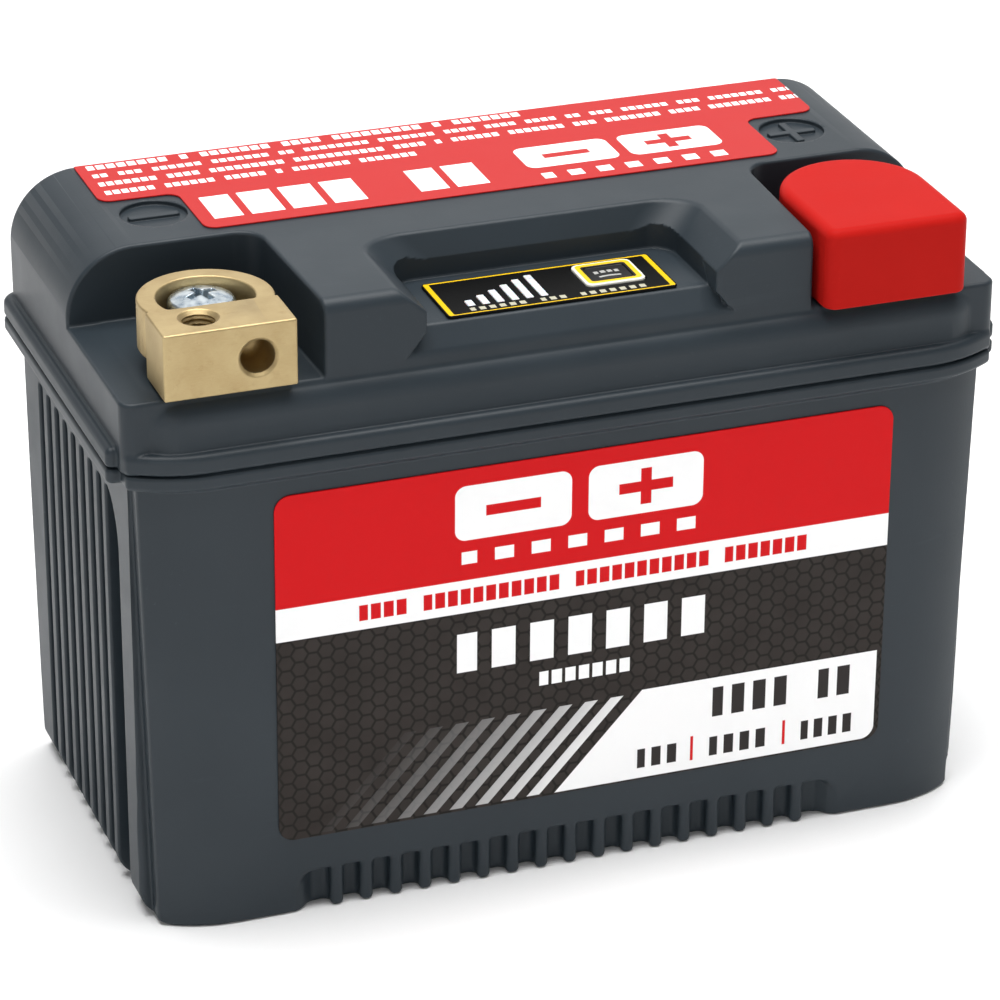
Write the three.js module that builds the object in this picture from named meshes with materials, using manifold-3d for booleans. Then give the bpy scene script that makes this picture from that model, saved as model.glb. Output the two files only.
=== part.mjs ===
// Lithium iron phosphate motorcycle battery in a case 175 mm long and 85 mm deep: ribbed case, stepped lid with two
// corner notches for the brass terminal blocks, a charge display with a test button, and a lift-off positive cap.
// Inside stand eight 26650 cells (four pairs in series) in two holders, with straps, a protection board and leads.
// Millimetres, +Z up, front towards -Y, origin on the ground under the middle of the battery.

import * as THREE from "three";
import { mergeVertices } from "three/addons/utils/BufferGeometryUtils.js";
import Module from "manifold-3d";

const wasm = await Module();
wasm.setup();

// Envelope.
const LENGTH = 179; // over the flanges
const WIDTH = 87; // over the flanges
const SEAM = 97; // underside of the lid
const PLATFORM = 111; // shelf that carries the terminal blocks
const LID_TOP = 126;
const CAP_TOP = 127.6;
const GAP = 0.3; // between pieces that touch
const LABEL_GAP = 0.1; // adhesive under a label or panel
const LABEL_THICK = 0.25;
const FRONT_LABEL = [-60, 65];
const FRONT_LABEL_HEIGHT = 73.5;
const FRONT_LABEL_Z = 53.2; // its middle

// Flange outline.
const BOW_START = 72; // the front is straight between -BOW_START and BOW_START
const BOW_RADIUS = 25.5;
const BOW_END = 86.9;
const EAR_Y = -35.1; // front of the side pillars
const FLANGE_CORNER = 4;
const ARC = 3; // fineness of curved outlines

// Case.
const SIDE_INSET = 2.1; // flange over body, at the ends
const FRONT_INSET = 1.1; // flange over body, front and back
const SIDE_DRAFT = 2.6; // narrowing of each end from flange to ground
const FRONT_DRAFT = 1.0; // narrowing of front and back from flange to ground
const CASE_BODY_TOP = 94;
const CASE_RIM = SEAM - GAP;
const BASE_CORNER = 6; // radius of the bottom edges at the ends
const SLOT_PITCH = 6.1;
const SLOT_WIDTH = 3.1;
const SLOT_COUNT = 8;
const SLOT_BACK = 30.8; // back edge of the rearmost side slot
const SLOT_TOP = 86;
const SLOT_FLOOR = 83.2; // distance of the slot floors from the middle
const BAY = [-26, -17.8]; // wide slot between the ribs and the front pillar
const SKIRT_HALF = 57; // half length of the ribbed recess along the bottom edge
const SKIRT_HEIGHT = 8.5;
const SKIRT_DEPTH = 3.4;
const SKIRT_RIBS = 17;
const SKIRT_PITCH = 6.03;
const SKIRT_RIB_WIDTH = 2.6;
const CAVITY = [78.5, 38.6]; // half length and half width of the cell space
const FLOOR = 3;
const LOW_CAVITY = 35.6; // half width beside the ribbed recesses
const LOW_CAVITY_TOP = 12;
const SEAL_OUTER = [83, 41, 4]; // half length, half width and corner radius of the seal groove
const SEAL_INNER = [80.6, 39.8, 4];
const SEAL_DEPTH = 1;

// Lid.
const LID_FLANGE = 3.9;
const LID_CORNER = 13.5; // radius of the long top edges at the ends
const SHOULDER_HALF = 84.5;
const SHOULDER_FRONT = -41.4;
const SHOULDER_RADIUS = 5;
const BRIDGE_FRONT = -39.1;
const NOTCH_BACK = -1.3; // rear wall of the terminal notches
const NOTCH_INNER = 48.6; // inner wall of the terminal notches, at the front
const NOTCH_SPREAD = 1.4; // the inner walls open outwards by this towards the back
const NOTCH_FILLET = 5;
const LID_BACK = 41.3;
const LID_WALL = 2.6;

// Display recess in the bridge.
const DISPLAY_FLOOR = 117.3;
const DISPLAY_LEDGE = 121.2;
const DISPLAY_HALF = 27.5;
const DISPLAY_TOP_HALF = 34;
const DISPLAY_FRONT = -35.6; // front edge of the floor, where the slope down to the bridge front starts
const DISPLAY_LIP = 112.8; // foot of that slope
const DISPLAY_BACK = -15.2;
const DISPLAY_TOP_BACK = -12.6;
const PANEL = [-23.2, 22.6, -35.2, -19.0];
const BAR_COUNT = 6;
const BAR_PITCH = 2.9;
const BAR_WIDTH = 1.5;
const BAR_FIRST_X = -17.3;
const BAR_FRONT = -31.6;
const BAR_LENGTHS = [2.6, 4.2, 5.8, 7.4, 9.0, 10.2];
const BUTTON = [12.1, -25.7]; // middle of the test button
const BUTTON_SIZE = [12, 10.2];
const BOARD_Z = 110.8; // underside of the indicator board
const BOARD_THICK = 1.4;
const BOARD = [-30, 30, -33.6, -17];
const PEG = [26, -27]; // middle of the pegs that carry the board, mirrored in X
const BUTTON_STEM = 1.5;
const BUTTON_TRAVEL = 0.6;
const SWITCH_HEIGHT = 1.7;
const PARTS_Z = BOARD_Z + BOARD_THICK + GAP; // underside of what is soldered to the board

// Terminals: the block's own frame has its origin at the middle of the bar's lower front edge.
const BLOCK_Z = PLATFORM + 0.8;
const BLOCK_WIDTH = 25.4;
const BAR_DEPTH = 11.9;
const BLOCK_HEIGHT = 13.1;
const BOSS_RADIUS = 12.8;
const BOSS_Y = 15.8;
const BOSS_UNDER = 3.4; // step between the undersides of bar and boss
const WELL_RADIUS = 9.2;
const WELL_FLOOR = 6.6;
const SCREW_Y = 18.5;
const STUD_HOLE_RADIUS = 3.3;
const INSERT_RADIUS = 4.5; // threaded insert moulded into the shelf
const INSERT_FLANGE = 7;
const INSERT_FOOT = 96.7;
const SCREW_FOOT = 100;
const SCREW_RADIUS = 3;
const SCREW_HEAD = 5.9;
const WASHER_RADIUS = 6.1;
const WASHER_THICK = 0.9;
const LUG = [95, 96.4]; // ring lug under each insert
const LEAD_Z = 94.1;
const SEAL_RADIUS = 6.2;
const TOP_HOLE = [-4.1, 6.6];
const FRONT_HOLE = [5.2, 6.5];
const TERMINALS = {
  negative: { x: -67.3, front: -42 },
  positive: { x: 64.65, front: -41.2 },
};
const CAP = { x: 64.65, half: 14.65, front: -43, round: -21.7, bottom: PLATFORM + 0.5, wall: 1.2 };

// Cells and holders.
const CELL_RADIUS = 13.1;
const CELL_PITCH = 27;
const CELL_SIDES = 16;
const CELL_COLUMNS = [-1.5, -0.5, 0.5, 1.5].map((n) => n * CELL_PITCH);
const CELL_ROWS = [-CELL_PITCH / 2, CELL_PITCH / 2];
const CELL_BOTTOM = 10.8;
const CELL_LENGTH = 65;
const CELL_TOP = CELL_BOTTOM + CELL_LENGTH;
const HOLDER = [56, 29.5];
const HOLDER_THICK = 8;
const HOLDER_GRIP = 5.7; // length of cell held by each holder
const STRAP_THICK = 0.8;
const POST = [52.5, 25.5];
const POST_TOP = 83.6;
const POST_BORE = 6;
const BMS_THICK = 1.6; // protection board

const MATERIALS = {
  case_plastic: [0x4a5056, 0.55, 0],
  brass: [0xc4ac7d, 0.35, 1],
  zinc_steel: [0xb9c4cc, 0.3, 1],
  cap_plastic: [0xc8322d, 0.45, 0],
  front_label: [0xc81e20, 0.3, 0],
  top_label: [0xe55050, 0.4, 0],
  display_panel: [0x161616, 0.3, 0],
  button_film: [0xe8be14, 0.35, 0],
  light_pipe: [0xd8dadc, 0.3, 0],
  circuit_board: [0x1f5a34, 0.5, 0],
  black_plastic: [0x1c1d1f, 0.5, 0],
  cell_can: [0x2c6fa8, 0.4, 0],
  holder_plastic: [0xd0d0c8, 0.6, 0],
  nickel: [0xb8b5a8, 0.3, 1],
  foam: [0x3a3a3c, 0.95, 0],
  seal_rubber: [0x202224, 0.8, 0],
  lead_black: [0x1a1a1a, 0.6, 0],
  lead_red: [0xb02020, 0.6, 0],
  led: [0xf2f2e0, 0.3, 0],
};

// ---------------------------------------------------------------------------------------------- solid helpers

function solid(geometry) {
  const bare = geometry.index ? geometry.toNonIndexed() : geometry.clone();
  bare.deleteAttribute("normal");
  bare.deleteAttribute("uv");
  const merged = mergeVertices(bare, 1e-4);
  return new wasm.Manifold(
    new wasm.Mesh({
      numProp: 3,
      vertProperties: new Float32Array(merged.attributes.position.array),
      triVerts: new Uint32Array(merged.index.array),
    }),
  );
}

function geometryOf(body) {
  const mesh = body.getMesh();
  const geometry = new THREE.BufferGeometry();
  geometry.setAttribute("position", new THREE.BufferAttribute(mesh.vertProperties, 3));
  geometry.setIndex(new THREE.BufferAttribute(mesh.triVerts, 1));
  geometry.computeVertexNormals();
  return geometry;
}

const union = (bodies) => bodies.reduce((sum, body) => sum.add(body));
const cut = (body, tools) => tools.reduce((left, tool) => left.subtract(tool), body);

function box([x0, x1], [y0, y1], [z0, z1]) {
  const geometry = new THREE.BoxGeometry(x1 - x0, y1 - y0, z1 - z0);
  return solid(geometry.translate((x0 + x1) / 2, (y0 + y1) / 2, (z0 + z1) / 2));
}

function extruded(shape, depth, steps = 1) {
  return new THREE.ExtrudeGeometry(shape, { depth, steps, bevelEnabled: false, curveSegments: ARC });
}

// A prism standing on the XY outline.
const prismZ = (shape, [z0, z1]) => solid(extruded(shape, z1 - z0).translate(0, 0, z0));

// A prism along Y whose outline is drawn in X and Z.
function prismY(shape, [y0, y1]) {
  return solid(extruded(shape, y1 - y0).rotateX(Math.PI / 2).translate(0, y1, 0));
}

// A prism along X whose outline is drawn in Y and Z.
function prismX(shape, [x0, x1]) {
  const turn = new THREE.Matrix4().makeBasis(
    new THREE.Vector3(0, 1, 0),
    new THREE.Vector3(0, 0, 1),
    new THREE.Vector3(1, 0, 0),
  );
  return solid(extruded(shape, x1 - x0).applyMatrix4(turn).translate(x0, 0, 0));
}

// Stacks a plan outline through levels of [z, end inset, front inset], for drafted and chamfered bodies.
function stacked(outline, levels) {
  const geometry = extruded(outline, levels.length - 1, levels.length - 1);
  const position = geometry.attributes.position;
  for (let i = 0; i < position.count; i++) {
    const [z, endInset, frontInset] = levels[Math.round(position.getZ(i))];
    const x = position.getX(i) * (1 - endInset / (LENGTH / 2));
    const y = position.getY(i) * (1 - frontInset / (WIDTH / 2));
    position.setXYZ(i, x, y, z);
  }
  return solid(geometry);
}

// A rectangular ring between two outlines of [half length, half width, corner radius], thinned on both sides by play.
function frameRing([ox, oy, outerRadius], [ix, iy, innerRadius], play, z) {
  const outer = roundedRectangle([play - ox, ox - play], [play - oy, oy - play], outerRadius);
  const inner = roundedRectangle([-ix - play, ix + play], [-iy - play, iy + play], innerRadius);
  return prismZ(outer, z).subtract(prismZ(inner, [z[0] - 1, z[1] + 1]));
}

function cylinder(x, y, [z0, z1], radius, sides = 20) {
  const geometry = new THREE.CylinderGeometry(radius, radius, z1 - z0, sides);
  return solid(geometry.rotateX(Math.PI / 2).translate(x, y, (z0 + z1) / 2));
}

function cylinderY(x, z, [y0, y1], radius, endRadius = radius, sides = 20) {
  const geometry = new THREE.CylinderGeometry(endRadius, radius, y1 - y0, sides);
  return solid(geometry.translate(x, (y0 + y1) / 2, z));
}

function cone(x, y, [z0, z1], lowRadius, highRadius, sides = 20) {
  const geometry = new THREE.CylinderGeometry(highRadius, lowRadius, z1 - z0, sides);
  return solid(geometry.rotateX(Math.PI / 2).translate(x, y, (z0 + z1) / 2));
}

// A body of revolution about the vertical line through x, y, from [radius, z] points that start and end on the axis.
function turned(x, y, profile, sides = 20) {
  const points = profile.map(([radius, z]) => new THREE.Vector2(radius, z));
  return solid(new THREE.LatheGeometry(points, sides).rotateX(Math.PI / 2).translate(x, y, 0));
}

function tube(points, radius, sides = 8) {
  const path = new THREE.CatmullRomCurve3(points.map((p) => new THREE.Vector3(...p)));
  const section = new THREE.Shape().absarc(0, 0, radius, 0, 2 * Math.PI, false);
  return solid(
    new THREE.ExtrudeGeometry(section, { steps: 12, curveSegments: sides / 2, extrudePath: path }),
  );
}

// ---------------------------------------------------------------------------------------------- outlines

// Mirrors the half outline on the +X side, which runs from the front to the back.
function symmetric(half) {
  const right = half.getPoints(ARC);
  const left = right.map((p) => new THREE.Vector2(-p.x, p.y)).reverse();
  return new THREE.Shape([...right, ...left]);
}

function roundedRectangle([x0, x1], [y0, y1], radius) {
  const s = new THREE.Shape();
  s.moveTo(x0 + radius, y0);
  s.lineTo(x1 - radius, y0);
  s.absarc(x1 - radius, y0 + radius, radius, -Math.PI / 2, 0, false);
  s.lineTo(x1, y1 - radius);
  s.absarc(x1 - radius, y1 - radius, radius, 0, Math.PI / 2, false);
  s.lineTo(x0 + radius, y1);
  s.absarc(x0 + radius, y1 - radius, radius, Math.PI / 2, Math.PI, false);
  s.lineTo(x0, y0 + radius);
  s.absarc(x0 + radius, y0 + radius, radius, Math.PI, 1.5 * Math.PI, false);
  return s;
}

// Straight front with bowed ends, a step back to each side pillar, round back corners.
function flangeOutline() {
  const front = -WIDTH / 2;
  const end = LENGTH / 2;
  const sweep = Math.asin((BOW_END - BOW_START) / BOW_RADIUS);
  const half = new THREE.Path();
  half.moveTo(BOW_START, front);
  half.absarc(BOW_START, front + BOW_RADIUS, BOW_RADIUS, -Math.PI / 2, -Math.PI / 2 + sweep, false);
  half.lineTo(BOW_END + 0.1, EAR_Y - 0.6);
  half.lineTo(end - 1, EAR_Y);
  half.lineTo(end, EAR_Y + 1);
  half.lineTo(end, -front - FLANGE_CORNER);
  half.absarc(end - FLANGE_CORNER, -front - FLANGE_CORNER, FLANGE_CORNER, 0, Math.PI / 2, false);
  return symmetric(half);
}

// ---------------------------------------------------------------------------------------------- case and lid

function sideSlots(side) {
  const reach = [SLOT_FLOOR, LENGTH / 2].map((x) => side * x).sort((a, b) => a - b);
  const slots = [];
  for (let i = 0; i < SLOT_COUNT; i++) {
    const back = SLOT_BACK - i * SLOT_PITCH;
    slots.push(box(reach, [back - SLOT_WIDTH, back], [-1, SLOT_TOP]));
  }
  const bay = new THREE.Shape();
  bay.moveTo(BAY[0], -1);
  bay.lineTo(BAY[1], -1);
  bay.lineTo(BAY[1], SLOT_TOP);
  bay.lineTo(BAY[1] - 2, SLOT_TOP);
  bay.quadraticCurveTo(BAY[0], SLOT_TOP - 3, BAY[0], SLOT_TOP - 12);
  slots.push(prismX(bay, reach));
  return slots;
}

// The recess along the bottom edge of the front or back, without its ribs.
function skirtRecess(side) {
  const outer = (side * WIDTH) / 2;
  const inner = side * (WIDTH / 2 - FRONT_INSET - FRONT_DRAFT - SKIRT_DEPTH);
  const reach = [inner, outer].sort((a, b) => a - b);
  const half = new THREE.Path();
  half.moveTo(SKIRT_HALF + 1, -1);
  half.quadraticCurveTo(SKIRT_HALF - 2, SKIRT_HEIGHT, SKIRT_HALF - 7, SKIRT_HEIGHT);
  const recess = prismY(symmetric(half), reach);
  const ribs = [];
  for (let i = 0; i < SKIRT_RIBS; i++) {
    const x = (i - (SKIRT_RIBS - 1) / 2) * SKIRT_PITCH;
    const face = side * (WIDTH / 2 - FRONT_INSET - FRONT_DRAFT - 0.4);
    const depth = [inner - side, face].sort((a, b) => a - b);
    ribs.push(box([x - SKIRT_RIB_WIDTH / 2, x + SKIRT_RIB_WIDTH / 2], depth, [-2, SKIRT_HEIGHT + 1]));
  }
  return cut(recess, ribs);
}

function caseBody() {
  const drafted = stacked(flangeOutline(), [
    [0, SIDE_INSET + SIDE_DRAFT, FRONT_INSET + FRONT_DRAFT],
    [CASE_BODY_TOP, SIDE_INSET, FRONT_INSET],
    [CASE_RIM, SIDE_INSET, FRONT_INSET],
  ]);
  const foot = LENGTH / 2 - SIDE_INSET - SIDE_DRAFT;
  const endProfile = new THREE.Path();
  endProfile.moveTo(foot - BASE_CORNER, 0);
  endProfile.absarc(foot - BASE_CORNER, BASE_CORNER, BASE_CORNER, -Math.PI / 2, 0, false);
  endProfile.lineTo(LENGTH / 2, CASE_BODY_TOP);
  endProfile.lineTo(LENGTH / 2, SEAM);
  const shaped = drafted.intersect(prismY(symmetric(endProfile), [-WIDTH, WIDTH]));
  const flange = stacked(flangeOutline(), [
    [CASE_BODY_TOP - 0.6, SIDE_INSET + 0.2, FRONT_INSET + 0.2],
    [CASE_BODY_TOP + 0.8, 0.2, 0.2],
    [CASE_RIM - 0.4, 0, 0],
    [CASE_RIM, 0.4, 0.4],
  ]);
  const [cx, cy] = CAVITY;
  const cellSpace = roundedRectangle([-cx, cx], [-cy, cy], 3);
  const lowSpace = roundedRectangle([-cx, cx], [-LOW_CAVITY, LOW_CAVITY], 3);
  const sealGroove = frameRing(SEAL_OUTER, SEAL_INNER, 0, [CASE_RIM - SEAL_DEPTH, SEAM]);
  return cut(shaped.add(flange), [
    prismZ(cellSpace, [LOW_CAVITY_TOP, SEAM + 1]),
    prismZ(lowSpace, [FLOOR, LOW_CAVITY_TOP + 1]),
    sealGroove,
    ...sideSlots(-1),
    ...sideSlots(1),
    skirtRecess(-1),
    skirtRecess(1),
  ]);
}

// Plan of one terminal notch, on the +X side when side is 1.
function notch(side) {
  const corner = NOTCH_INNER + NOTCH_SPREAD;
  const s = new THREE.Shape();
  s.moveTo(NOTCH_INNER, -WIDTH);
  s.lineTo(LENGTH, -WIDTH);
  s.lineTo(LENGTH, NOTCH_BACK);
  s.lineTo(corner + NOTCH_FILLET, NOTCH_BACK);
  s.quadraticCurveTo(corner, NOTCH_BACK, corner, NOTCH_BACK - NOTCH_FILLET);
  s.lineTo(NOTCH_INNER, BRIDGE_FRONT);
  const plan = new THREE.Shape(s.getPoints(ARC).map((p) => new THREE.Vector2(side * p.x, p.y)));
  return prismZ(plan, [PLATFORM, LID_TOP + 5]);
}

// Open-fronted recess for the display: upright walls below the ledge, sloping walls above it.
function displayRecess() {
  const lower = prismZ(roundedRectangle([-DISPLAY_HALF, DISPLAY_HALF], [-WIDTH, DISPLAY_BACK], 3), [
    DISPLAY_FLOOR,
    LID_TOP,
  ]);
  const side = new THREE.Path();
  side.moveTo(DISPLAY_HALF, DISPLAY_LEDGE);
  side.lineTo(DISPLAY_TOP_HALF, LID_TOP);
  side.lineTo(DISPLAY_TOP_HALF, LID_TOP + 1);
  const back = new THREE.Shape();
  back.moveTo(-WIDTH, DISPLAY_LEDGE);
  back.lineTo(DISPLAY_BACK, DISPLAY_LEDGE);
  back.lineTo(DISPLAY_TOP_BACK, LID_TOP);
  back.lineTo(DISPLAY_TOP_BACK, LID_TOP + 1);
  back.lineTo(-WIDTH, LID_TOP + 1);
  const upper = prismY(symmetric(side), [-WIDTH, WIDTH]).intersect(prismX(back, [-LENGTH, LENGTH]));
  const front = new THREE.Shape();
  front.moveTo(DISPLAY_FRONT, DISPLAY_FLOOR);
  front.lineTo(DISPLAY_FRONT, LID_TOP);
  front.lineTo(-WIDTH, LID_TOP);
  front.lineTo(-WIDTH, DISPLAY_LIP);
  front.lineTo(BRIDGE_FRONT, DISPLAY_LIP);
  return [lower, upper, prismX(front, [-DISPLAY_HALF - 3, DISPLAY_HALF + 3])];
}

function lidBody() {
  const flangeTop = SEAM + LID_FLANGE;
  const flange = stacked(flangeOutline(), [
    [SEAM, 0.4, 0.4],
    [SEAM + 0.4, 0, 0],
    [flangeTop - 1.4, 0.1, 0.1],
    [flangeTop, 1.6, 1.6],
  ]);
  const body = LENGTH / 2 - SIDE_INSET;
  const low = prismZ(roundedRectangle([-body, body], [EAR_Y + 0.8, LID_BACK + 0.3], 3), [SEAM + 1, PLATFORM]);
  const shoulderSide = new THREE.Shape();
  shoulderSide.moveTo(SHOULDER_FRONT, SEAM + 1);
  shoulderSide.lineTo(0, SEAM + 1);
  shoulderSide.lineTo(0, PLATFORM);
  shoulderSide.lineTo(SHOULDER_FRONT + SHOULDER_RADIUS, PLATFORM);
  shoulderSide.absarc(
    SHOULDER_FRONT + SHOULDER_RADIUS,
    PLATFORM - SHOULDER_RADIUS,
    SHOULDER_RADIUS,
    Math.PI / 2,
    Math.PI,
    false,
  );
  const shoulder = prismX(shoulderSide, [-SHOULDER_HALF, SHOULDER_HALF]).intersect(
    prismZ(roundedRectangle([-SHOULDER_HALF, SHOULDER_HALF], [SHOULDER_FRONT - 1, 10], 5), [SEAM, PLATFORM + 1]),
  );
  const endProfile = new THREE.Path();
  endProfile.moveTo(body, PLATFORM - 1);
  endProfile.lineTo(body, LID_TOP - LID_CORNER);
  endProfile.absarc(body - LID_CORNER, LID_TOP - LID_CORNER, LID_CORNER, 0, Math.PI / 2, false);
  const upper = cut(prismY(symmetric(endProfile), [BRIDGE_FRONT, LID_BACK]), [notch(-1), notch(1)]);
  const bosses = Object.values(TERMINALS).map((t) =>
    cylinder(t.x, t.front + SCREW_Y, [99, PLATFORM - 1], INSERT_FLANGE + 1, 20),
  );
  const hollow = [
    prismZ(roundedRectangle([-80.5, 80.5], [-37.5, 38.5], 3), [SEAM - 1, PLATFORM - LID_WALL - 0.4]),
    box([-80, 80], [NOTCH_BACK + LID_WALL, 38.5], [PLATFORM - 4, LID_TOP - LID_CORNER + 4]),
    box([-72, 72], [NOTCH_BACK + LID_WALL, 38.5], [PLATFORM - 4, LID_TOP - LID_WALL]),
    box([-46, 46], [DISPLAY_FRONT + 1.6, 10], [PLATFORM - 4, DISPLAY_FLOOR - LID_WALL]),
  ];
  const shell = cut(union([flange, low, shoulder, upper]), [...hollow, ...displayRecess()]);
  const pegX = [-PEG[0], PEG[0]];
  const pegs = pegX.map((x) => cylinder(x, PEG[1], [BOARD_Z + BOARD_THICK + GAP, DISPLAY_FLOOR - 1], 2.2, 12));
  const pins = pegX.map((x) => cylinder(x, PEG[1], [BOARD_Z - 0.6, BOARD_Z + 3], 1, 12));
  const windows = [];
  for (let i = 0; i < BAR_COUNT; i++) windows.push(barSolid(i, [DISPLAY_FLOOR - 5, DISPLAY_FLOOR + 1], GAP));
  const buttonPocket = prismZ(buttonOutline(GAP), [DISPLAY_FLOOR - 0.5 - BUTTON_TRAVEL, DISPLAY_FLOOR + 1]);
  const insertBores = Object.values(TERMINALS).map((t) =>
    cylinder(t.x, t.front + SCREW_Y, [SEAM, PLATFORM + 1], INSERT_RADIUS + GAP, 20),
  );
  return cut(union([shell, ...bosses, ...pegs, ...pins]), [
    ...windows,
    ...insertBores,
    buttonPocket,
    cylinder(...BUTTON, [BOARD_Z, DISPLAY_FLOOR], BUTTON_STEM + GAP + 0.1, 16),
  ]);
}

// ---------------------------------------------------------------------------------------------- display

// One charge bar, numbered from the left; each is longer than the one before.
function barSolid(i, z, clearance = 0) {
  const x = BAR_FIRST_X + i * BAR_PITCH;
  const half = BAR_WIDTH / 2 + clearance;
  return box([x - half, x + half], [BAR_FRONT - clearance, BAR_FRONT + BAR_LENGTHS[i] + clearance], z);
}

function buttonOutline(clearance = 0) {
  const [x, y] = BUTTON;
  const [width, depth] = BUTTON_SIZE.map((size) => size / 2 + clearance);
  return roundedRectangle([x - width, x + width], [y - depth, y + depth], 1.4);
}

function displayPanel() {
  const [x0, x1, y0, y1] = PANEL;
  const z = [DISPLAY_FLOOR + LABEL_GAP, DISPLAY_FLOOR + LABEL_GAP + 0.5];
  const through = [DISPLAY_FLOOR - 1, DISPLAY_FLOOR + 2];
  const windows = BAR_LENGTHS.map((_, i) => barSolid(i, through, 0.15));
  return cut(prismZ(roundedRectangle([x0, x1], [y0, y1], 0.8), z), [
    prismZ(buttonOutline(GAP), through),
    ...windows,
  ]);
}

function testButton() {
  const plate = prismZ(buttonOutline(), [DISPLAY_FLOOR - 0.3, DISPLAY_FLOOR + 1]);
  const stemFoot = PARTS_Z + SWITCH_HEIGHT + BUTTON_TRAVEL + 0.1;
  return plate.add(cylinder(...BUTTON, [stemFoot, DISPLAY_FLOOR], BUTTON_STEM, 16));
}

function indicatorBoard() {
  const [x0, x1, y0, y1] = BOARD;
  const bores = [-PEG[0], PEG[0]].map((x) => cylinder(x, PEG[1], [BOARD_Z - 1, BOARD_Z + 2], 1.3, 12));
  return cut(box([x0, x1], [y0, y1], [BOARD_Z, BOARD_Z + BOARD_THICK]), bores);
}

function testSwitch() {
  const [x, y] = BUTTON;
  const body = box([x - 3, x + 3], [y - 3, y + 3], [PARTS_Z, PARTS_Z + 1.2]);
  return body.add(cylinder(x, y, [PARTS_Z + 1, PARTS_Z + SWITCH_HEIGHT], 1.6, 16));
}

function indicatorLed(i) {
  const x = BAR_FIRST_X + i * BAR_PITCH;
  const y = BAR_FRONT + BAR_LENGTHS[i] / 2;
  return box([x - 0.8, x + 0.8], [y - 0.8, y + 0.8], [PARTS_Z, PARTS_Z + 0.9]);
}

// ---------------------------------------------------------------------------------------------- terminals

function terminalBlock({ x, front }) {
  const bar = box([x - BLOCK_WIDTH / 2, x + BLOCK_WIDTH / 2], [front, front + BAR_DEPTH], [
    BLOCK_Z,
    BLOCK_Z + BLOCK_HEIGHT,
  ]);
  const top = BLOCK_Z + BLOCK_HEIGHT;
  const boss = cylinder(x, front + BOSS_Y, [BLOCK_Z + BOSS_UNDER, top], BOSS_RADIUS, 32);
  const behindBar = box([x - BOSS_RADIUS, x + BOSS_RADIUS], [front + BAR_DEPTH, front + 40], [BLOCK_Z, top + 2]);
  const well = cylinder(x, front + BOSS_Y, [BLOCK_Z + WELL_FLOOR, top + 1], WELL_RADIUS, 24).intersect(behindBar);
  const holeX = x + TOP_HOLE[0];
  const holeY = front + TOP_HOLE[1];
  const frontX = x + FRONT_HOLE[0];
  const frontZ = BLOCK_Z + FRONT_HOLE[1];
  return cut(bar.add(boss), [
    well,
    cylinder(x, front + SCREW_Y, [BLOCK_Z, top], SCREW_RADIUS + 0.4),
    cylinder(holeX, holeY, [BLOCK_Z - 1, top + 1], STUD_HOLE_RADIUS),
    cone(holeX, holeY, [top - 0.6, top + 0.05], STUD_HOLE_RADIUS, STUD_HOLE_RADIUS + 0.6),
    cylinderY(frontX, frontZ, [front - 1, front + BAR_DEPTH - 2.5], STUD_HOLE_RADIUS),
    cylinderY(frontX, frontZ, [front - 0.05, front + 0.6], STUD_HOLE_RADIUS + 0.6, STUD_HOLE_RADIUS),
  ]);
}

function terminalWasher({ x, front }) {
  const base = BLOCK_Z + WELL_FLOOR + GAP;
  return cylinder(x, front + SCREW_Y, [base, base + WASHER_THICK], WASHER_RADIUS).subtract(
    cylinder(x, front + SCREW_Y, [base - 1, base + 2], SCREW_RADIUS + 0.4),
  );
}

function terminalScrew({ x, front }) {
  const seat = BLOCK_Z + WELL_FLOOR + WASHER_THICK + 2 * GAP;
  const top = BLOCK_Z + BLOCK_HEIGHT - 0.8;
  const y = front + SCREW_Y;
  const body = turned(x, y, [
    [0, SCREW_FOOT],
    [SCREW_RADIUS - 0.6, SCREW_FOOT],
    [SCREW_RADIUS, SCREW_FOOT + 0.8],
    [SCREW_RADIUS, seat],
    [SCREW_HEAD, seat],
    [SCREW_HEAD, top - 1.2],
    [SCREW_HEAD - 0.7, top - 0.4],
    [SCREW_HEAD - 2.3, top],
    [0, top],
  ]);
  const depth = [top - 2, top + 1];
  return cut(body, [box([x - 3, x + 3], [y - 0.6, y + 0.6], depth), box([x - 0.6, x + 0.6], [y - 3, y + 3], depth)]);
}

function terminalSeal({ x, front }) {
  const base = PLATFORM + 0.2;
  const y = front + SCREW_Y;
  const bore = cylinder(x, y, [base - 1, base + 9], INSERT_RADIUS + GAP, 20);
  return cylinder(x, y, [base, BLOCK_Z + BOSS_UNDER - 0.2], SEAL_RADIUS, 20).subtract(bore);
}

function terminalInsert({ x, front }) {
  const y = front + SCREW_Y;
  const barrel = cylinder(x, y, [INSERT_FOOT + 1, BLOCK_Z + BOSS_UNDER - GAP], INSERT_RADIUS, 20);
  const flange = cylinder(x, y, [INSERT_FOOT, INSERT_FOOT + 2], INSERT_FLANGE, 20);
  return barrel.add(flange).subtract(cylinder(x, y, [INSERT_FOOT - 1, LID_TOP], STUD_HOLE_RADIUS, 16));
}

// Plan of the cap: square front with round corners, half-round back.
function capPlan(inset) {
  const half = CAP.half - inset;
  const corner = 2.5 - inset;
  const front = CAP.front + inset;
  const s = new THREE.Shape();
  s.moveTo(CAP.x - half + corner, front);
  s.lineTo(CAP.x + half - corner, front);
  s.absarc(CAP.x + half - corner, front + corner, corner, -Math.PI / 2, 0, false);
  s.lineTo(CAP.x + half, CAP.round);
  s.absellipse(CAP.x, CAP.round, half, CAP.half - 0.3 - inset, 0, Math.PI, false);
  s.lineTo(CAP.x - half, front + corner);
  s.absarc(CAP.x - half + corner, front + corner, corner, Math.PI, 1.5 * Math.PI, false);
  return s;
}

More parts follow.
